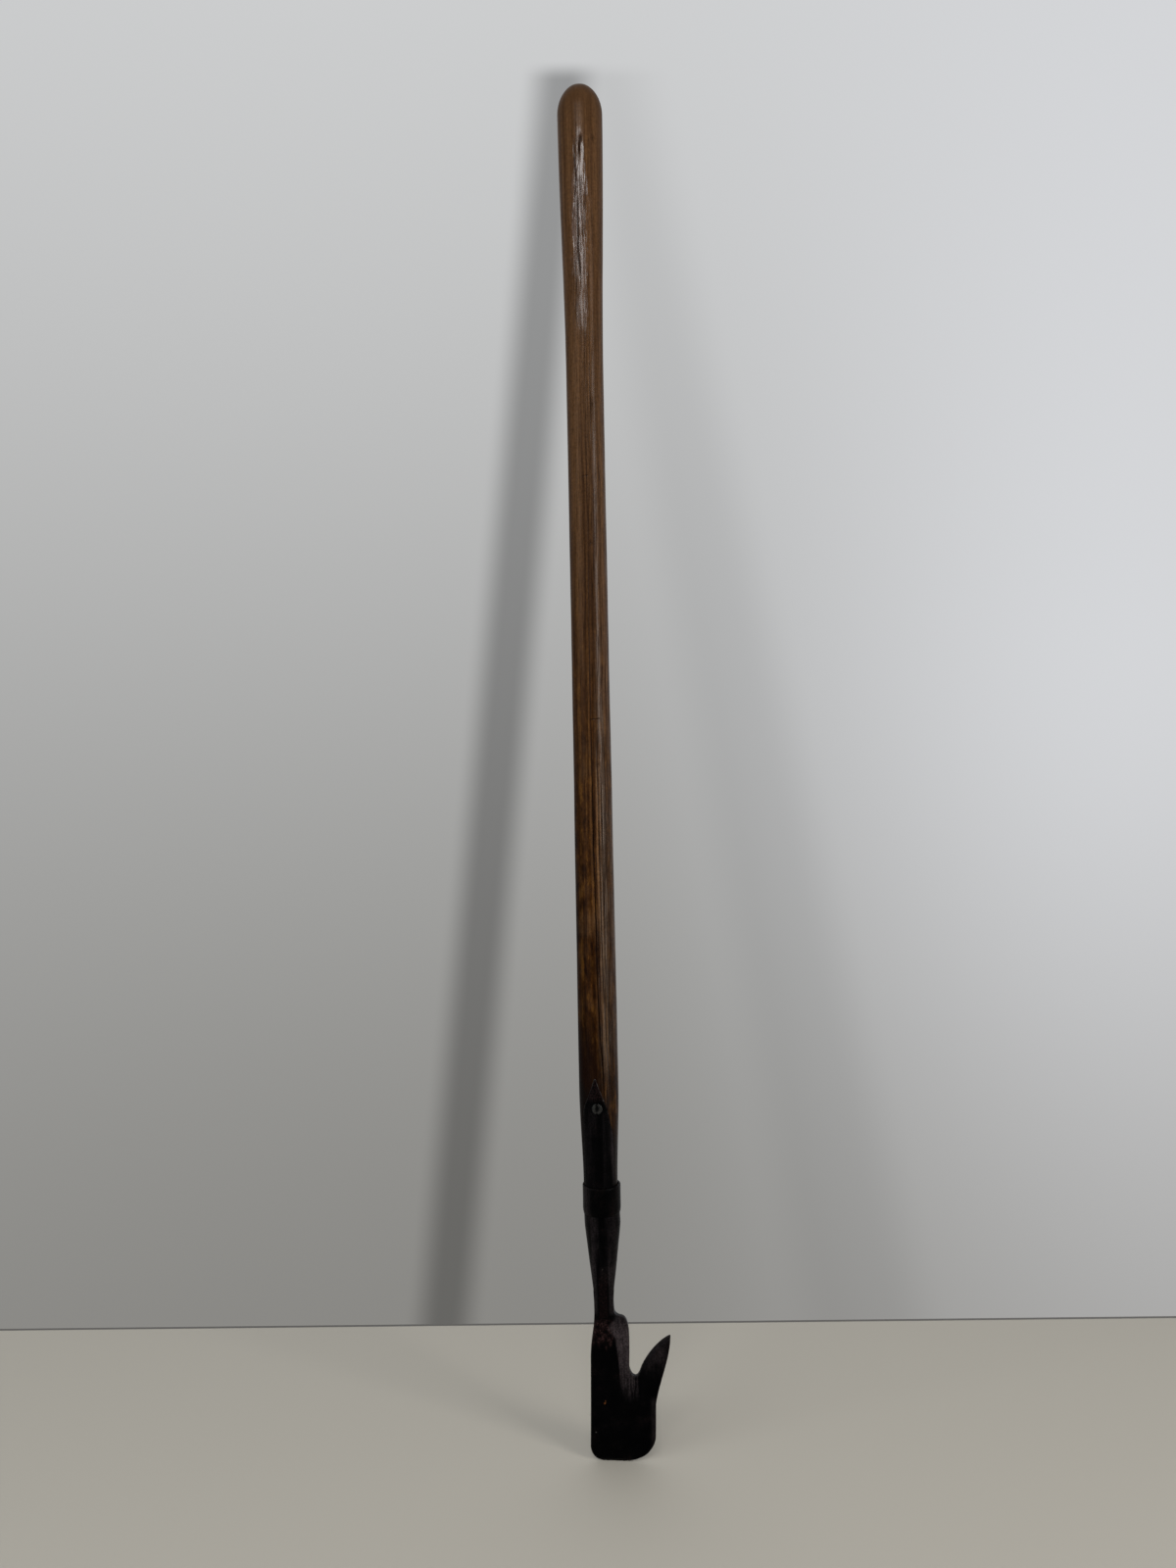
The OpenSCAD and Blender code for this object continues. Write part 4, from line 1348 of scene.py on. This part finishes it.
# %% [markdown]
# ### Oiled ash
#
# The wood is a dark, oiled brown. Growth rings show as slow bands, pores as thin dark
# streaks, and thin drawn lines run between them. Towards the foot it grows warmer and
# blotchy on the left, grey and lined on the right where it is more weathered, and it is
# stained nearly black beside the iron. It is also darker towards the foot and at the left
# edge, partly with painted shade. The marks on the mesh paint shade into the checks,
# fissures and nicks and darken the knots, pale the worn patch and light the polished strips.
#
# The finish is built up in layers, as a stain is: each line lays one colour over what is
# there, with a share that says where and how much. Places are heights and distances to the
# right in metres.

# %% Oiled ash: its patterns
wood = bpy.data.materials.new("oiled_ash")
wood.use_nodes = True
tree = wood.node_tree
shader = tree.nodes["Principled BSDF"]
place = add(tree, "TexCoord").outputs["Object"]
apart = add(tree, "SeparateXYZ", {0: place}).outputs
sideways, height = apart["X"], apart["Z"]
mark, worn_patch = attribute(tree, "shade_and_knot_mark"), attribute(tree, "patch")
polished = attribute(tree, "bright_strip")
grain = place_group(tree, fibres, {"Place": place, "Across": 1000.0, "Along": 30.0, "Thin": 0.46})
rings = place_group(tree, fibres, {"Place": place, "Across": 260.0, "Along": 3.4, "Thin": 0.43})
pores = place_group(tree, fibres, {"Place": place, "Across": 1500.0, "Along": 95.0, "Thin": 0.45})
blotch = place_group(tree, fibres, {"Place": place, "Across": 190.0, "Along": 60.0, "Thin": 0.43})
dirt = place_group(tree, mottle, {"Place": place, "Cloud size": 28.0, "Speck size": 420.0})

# %% Oiled ash: where it is old, lined or plain
downward = spread_out(tree, height, 1.08, 0.36)
left_part = spread_out(tree, sideways, 0.003, -0.002)
old_heights = times(tree, spread_out(tree, height, 0.80, 0.42), spread_out(tree, height, 0.33, 0.37))
old_side = times(tree, spread_out(tree, sideways, 0.002, 0.010), old_heights)
old_side = times(tree, old_side, spread_out(tree, sideways, 0.0095, 0.0135, 1.0, 0.3))
lined = times(tree, spread_out(tree, sideways, -0.001, 0.004), spread_out(tree, height, 1.06, 0.84))
low_left = times(tree, left_part, spread_out(tree, height, 0.72, 0.55))
plain_left = times_plus(tree, low_left, -0.7, 1.0)


def over(body, share, colour):
    """Lays a colour over the wood: the wood's own colour at share 0 and the new one at share 1."""
    return blend_colours(tree, share, body, (*colour, 1))


# %% Oiled ash: brown, and warmer towards the foot
browns = [
    (0.38, (0.034, 0.0145, 0.0052)),
    (0.50, (0.061, 0.0285, 0.0108)),
    (0.62, (0.094, 0.046, 0.0190)),
]
warm_browns = [
    (0.38, (0.011, 0.0028, 0.0005)),
    (0.50, (0.036, 0.0120, 0.0018)),
    (0.62, (0.098, 0.040, 0.0070)),
]
body = ramp(tree, rings["Wide"], browns)
body = over(body, spread_out(tree, downward, 0.6, 0.0, 0.0, 0.4), (0.074, 0.0355, 0.0145))
mottled = times_plus(tree, rings["Wide"], 0.35, times(tree, blotch["Wide"], 0.65))
warm = ramp(tree, mottled, warm_browns)
warm_share = times(tree, spread_out(tree, height, 0.88, 0.44), spread_out(tree, dirt["Cloud"], 0.25, 0.52))
body = blend_colours(tree, warm_share, body, warm)
body = over(body, times(tree, old_side, 0.60), (0.082, 0.055, 0.037))
body = over(body, times(tree, worn_patch, 0.50), (0.074, 0.042, 0.030))

# %% Oiled ash: pores, bright strips and lines
pore_share = times_plus(tree, downward, 0.25, times_plus(tree, lined, 0.25, 0.34))
body = over(body, times(tree, grain["Streak"], pore_share), (0.007, 0.0035, 0.0022))
body = over(body, times(tree, pores["Streak"], 0.38), (0.014, 0.0062, 0.0030))
silver = times(tree, old_side, spread_out(tree, grain["Wide"], 0.50, 0.58, 0.0, 0.9))
body = over(body, silver, (0.130, 0.092, 0.066))
body = over(body, times(tree, polished, 0.65), (0.170, 0.088, 0.038))
line_share = times(tree, times_plus(tree, lined, 0.50, 0.10), plain_left)
body = over(body, times(tree, rings["Line"], line_share), (0.011, 0.0046, 0.0020))
ring_share = times(tree, times_plus(tree, downward, 0.35, 0.28), plain_left)
body = over(body, times(tree, rings["Streak"], ring_share), (0.014, 0.0060, 0.0028))

# %% Oiled ash: darker to the foot and the left edge, partly painted shade, and specked
# Darker towards the foot and beside the iron: partly the wood's own darker colour, partly painted shade where
# the light falls off downwards. The darker left edge low on the pole is painted shade on that side.
by_iron = spread_out(tree, height, 0.345, 0.42, 0.6, 1.0)
by_height = times(tree, spread_out(tree, downward, 0.35, 1.0, 1.0, 0.85), by_iron)
left_edge_shade = times(tree, spread_out(tree, sideways, -0.006, -0.014), downward)
shade = times_plus(tree, left_edge_shade, -0.35, by_height)
shade = times(tree, shade, spread_out(tree, dirt["Speck"], 0.3, 0.7, 0.86, 1.18))
grey = add(tree, "CombineColor", {"Red": shade, "Green": shade, "Blue": shade}).outputs[0]
body = blend_colours(tree, 1.0, body, grey, "MULTIPLY")

# %% Oiled ash: blots, the stain beside the iron, the dome and painted shade in the dents
cloudy = spread_out(tree, dirt["Cloud"], 0.50, 0.64)
blots = times(tree, spread_out(tree, height, 0.56, 0.42, 0.0, 0.5), cloudy)
near_iron = spread_out(tree, times_plus(tree, dirt["Cloud"], 0.06, height), 0.435, 0.370)
blots = times(tree, larger(tree, blots, near_iron), left_part)
body = over(body, times(tree, blots, 0.85), (0.0060, 0.0018, 0.0009))
stain_top = times_plus(tree, sideways, -1.8, times_plus(tree, dirt["Cloud"], 0.04, 0.290))
stain = spread_out(tree, math_node(tree, "SUBTRACT", height, stain_top), 0.010, -0.008)
body = over(body, times(tree, stain, 0.92), (0.0035, 0.0022, 0.0019))
body = over(body, spread_out(tree, height, 1.155, 1.190, 0.0, 0.7), (0.054, 0.0270, 0.0125))
# Painted shade in the checks, fissures and nicks, and the darker wood of the knots.
body = over(body, times(tree, mark, 0.95), (0.0040, 0.0018, 0.0014))
tree.links.new(body, shader.inputs["Base Color"])

# %% [markdown]
# The gloss is a thin coat of old oil over dull wood. It is thick on the worn patch, thin
# towards the foot and in the open grain, and gone from the checks. The wood under it has
# hardly any shine of its own: without that, a grey veil lies over the dark lower part.

# %% Oiled ash: oil and relief
gloss = spread_out(tree, dirt["Cloud"], 0.3, 0.7, 0.34, 0.44)
tree.links.new(times_plus(tree, mark, 0.25, gloss, clamp=True), shader.inputs["Roughness"])
oil = times_plus(tree, lined, 0.15, spread_out(tree, height, 0.60, 0.85, 0.015, 0.07))
oil = times_plus(tree, worn_patch, 1.10, oil)
oil = times(tree, oil, spread_out(tree, grain["Wide"], 0.40, 0.56, 0.25, 1.5))
oil = times(tree, oil, spread_out(tree, height, 1.185, 1.150, 0.3, 1.0))
oil = times(tree, oil, times_plus(tree, mark, -0.9, 1.0), clamp=True)
tree.links.new(oil, shader.inputs["Coat Weight"])
relief = times_plus(tree, old_side, 1.2, times_plus(tree, worn_patch, 0.4, 0.5))
lift = times(tree, times_plus(tree, grain["Streak"], -0.7, grain["Fine"]), relief)
bump = add(tree, "Bump", {"Strength": 0.5, "Distance": 0.00014, "Height": lift})
tree.links.new(bump.outputs[0], shader.inputs["Normal"])
shader.inputs["Specular IOR Level"].default_value = 0.02
shader.inputs["Coat Roughness"].default_value = 0.26
print("nodes in the oiled ash:", len(tree.nodes))

# %% [markdown]
# ### Forged iron, ring and screws
#
# The iron is nearly black: an old skin of scale and oil with a faint cool sheen. The marks
# on the mesh say where it is paler, partly rubbed grey and partly a painted highlight on
# faces turned to the lights, where dull red rust lies and which rims are a little bare, and
# the patterns break all three up. A few small specks that catch the eye are set one by one.
# One recipe makes the three finishes, each with its own tones, rust and gloss.

# %% Recipe: dark iron
black_skin = (0.0003, 0.0003, 0.0004, 1)
# Rubbed grey, which also stands for the painted highlight on faces turned to the lights.
rubbed_grey_and_highlight = (0.048, 0.038, 0.040, 1)
rust_dark, rust_light = (0.0040, 0.0011, 0.0012, 1), (0.0480, 0.0250, 0.0240, 1)
rust_streak = (0.0022, 0.0008, 0.0009, 1)
cool_sheen = (0.86, 0.92, 1.0, 1)


def iron_colour(tree, damp, pale, bare, spots, drawn, skin, light, rust_share, bare_tone):
    """Black skin, then clouds, rubbed grey and painted highlight, drawn streaks, rust and bare rims laid over
    it.
    """
    cloud, speck = spots["Cloud"], spots["Speck"]
    tone = blend_colours(tree, spread_out(tree, cloud, 0.35, 0.72), skin, light)
    clouded = spread_out(tree, cloud, 0.30, 0.60, 0.6, 1.1)
    patchy = times(tree, spread_out(tree, speck, 0.34, 0.62, 0.35, 1.0), clouded)
    tone = blend_colours(tree, times(tree, pale, patchy), tone, rubbed_grey_and_highlight)
    tone = blend_colours(tree, times(tree, drawn["Streak"], 0.5), tone, black_skin)
    everywhere = times(tree, spread_out(tree, cloud, 0.52, 0.70), rust_share)
    rust_place = times_plus(tree, damp, 0.9, everywhere)
    rust_mask = times(tree, rust_place, spread_out(tree, speck, 0.22, 0.75), clamp=True)
    rust_tone = blend_colours(tree, spread_out(tree, speck, 0.25, 0.80), rust_dark, rust_light)
    streaky = spread_out(tree, drawn["Fine"], 0.42, 0.58, 0.0, 0.6)
    rust_tone = blend_colours(tree, streaky, rust_tone, rust_streak)
    tone = blend_colours(tree, rust_mask, tone, rust_tone)
    return blend_colours(tree, bare, tone, bare_tone), rust_mask


def single_spots(tree, place, speck, tone, spots_at):
    """Small spots with ragged rims, each given as X and Z in metres, radius and colour."""
    flat_place = vector_math(tree, "MULTIPLY", place, (1, 0, 1))[0]
    for at_x, at_z, size, colour in spots_at:
        away = vector_math(tree, "DISTANCE", flat_place, (at_x, 0, at_z))["Value"]
        away = times_plus(tree, math_node(tree, "SUBTRACT", speck, 0.5), 4 * size, away)
        tone = blend_colours(tree, spread_out(tree, away, size, 0.4 * size), tone, colour)
    return tone


def dark_iron(name, skin, light, rust_share, dull, bare_tone, shine, spots_at=()):
    """A finish of black iron: its colour in layers, duller where it rusts, brighter where bare."""
    finish = bpy.data.materials.new(name)
    finish.use_nodes = True
    tree = finish.node_tree
    shader = tree.nodes["Principled BSDF"]
    place = add(tree, "TexCoord").outputs["Object"]
    wear, damp, pale = attribute(tree, "wear"), attribute(tree, "rust"), attribute(tree, "pale")
    spots = place_group(tree, mottle, {"Place": place, "Cloud size": 75.0, "Speck size": 800.0})
    drawn = place_group(tree, fibres, {"Place": place, "Across": 800.0, "Along": 45.0, "Thin": 0.5})
    bare = place_group(tree, rubbed, {"Place": place, "Wear": wear, "Break up": 420.0})["Bare"]
    tones = (skin, light, rust_share, bare_tone)
    tone, rust_mask = iron_colour(tree, damp, pale, bare, spots, drawn, *tones)
    tone = single_spots(tree, place, spots["Speck"], tone, spots_at)
    tree.links.new(tone, shader.inputs["Base Color"])
    tree.links.new(times(tree, bare, 0.7), shader.inputs["Metallic"])
    gloss = spread_out(tree, spots["Speck"], 0.3, 0.7, dull - 0.07, dull + 0.09)
    gloss = times_plus(tree, rust_mask, 0.22, gloss)
    gloss = times_plus(tree, bare, -0.08, gloss, clamp=True)
    tree.links.new(gloss, shader.inputs["Roughness"])
    lift = times_plus(tree, spots["Pits"], 0.35, spots["Speck"])
    lift = times_plus(tree, spots["Cloud"], 1.4, times_plus(tree, drawn["Fine"], 0.8, lift))
    bump = add(tree, "Bump", {"Strength": 0.5, "Distance": 0.0003, "Height": lift})
    tree.links.new(bump.outputs[0], shader.inputs["Normal"])
    shader.inputs["Specular IOR Level"].default_value = shine
    shader.inputs["Specular Tint"].default_value = cool_sheen
    print(f"nodes in {name}:", len(tree.nodes))
    return finish


# %% Mix the finishes and give each piece its own
head_spots = [
    (-0.0001, 0.0510, 0.0011, (0.10, 0.035, 0.010, 1)),
    (0.0008, 0.0530, 0.0007, (0.05, 0.020, 0.009, 1)),
    (-0.0080, 0.0253, 0.0007, (0.04, 0.038, 0.034, 1)),
    (0.0010, 0.1710, 0.0007, (0.05, 0.044, 0.038, 1)),
]
head_iron = dark_iron(
    "forged_iron",
    skin=black_skin,
    light=(0.0010, 0.0009, 0.0010, 1),
    rust_share=0.12,
    dull=0.26,
    bare_tone=(0.035, 0.031, 0.029, 1),
    shine=0.02,
    spots_at=head_spots,
)
ring_iron = dark_iron(
    "collar_iron",
    skin=black_skin,
    light=(0.0012, 0.0011, 0.0010, 1),
    rust_share=0.15,
    dull=0.27,
    bare_tone=(0.020, 0.017, 0.016, 1),
    shine=0.02,
)
steel = dark_iron(
    "screw_steel",
    skin=(0.0006, 0.0006, 0.0007, 1),
    light=(0.0024, 0.0022, 0.0022, 1),
    rust_share=0.20,
    dull=0.24,
    bare_tone=(0.038, 0.037, 0.035, 1),
    shine=0.07,
)
finishes = {
    "oiled_ash": wood,
    "forged_iron": head_iron,
    "collar_iron": ring_iron,
    "screw_steel": steel,
}
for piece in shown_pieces():
    if "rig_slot" in piece:
        piece.data.materials.append(finishes[piece["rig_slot"]])
print("finishes:", sorted(finishes))
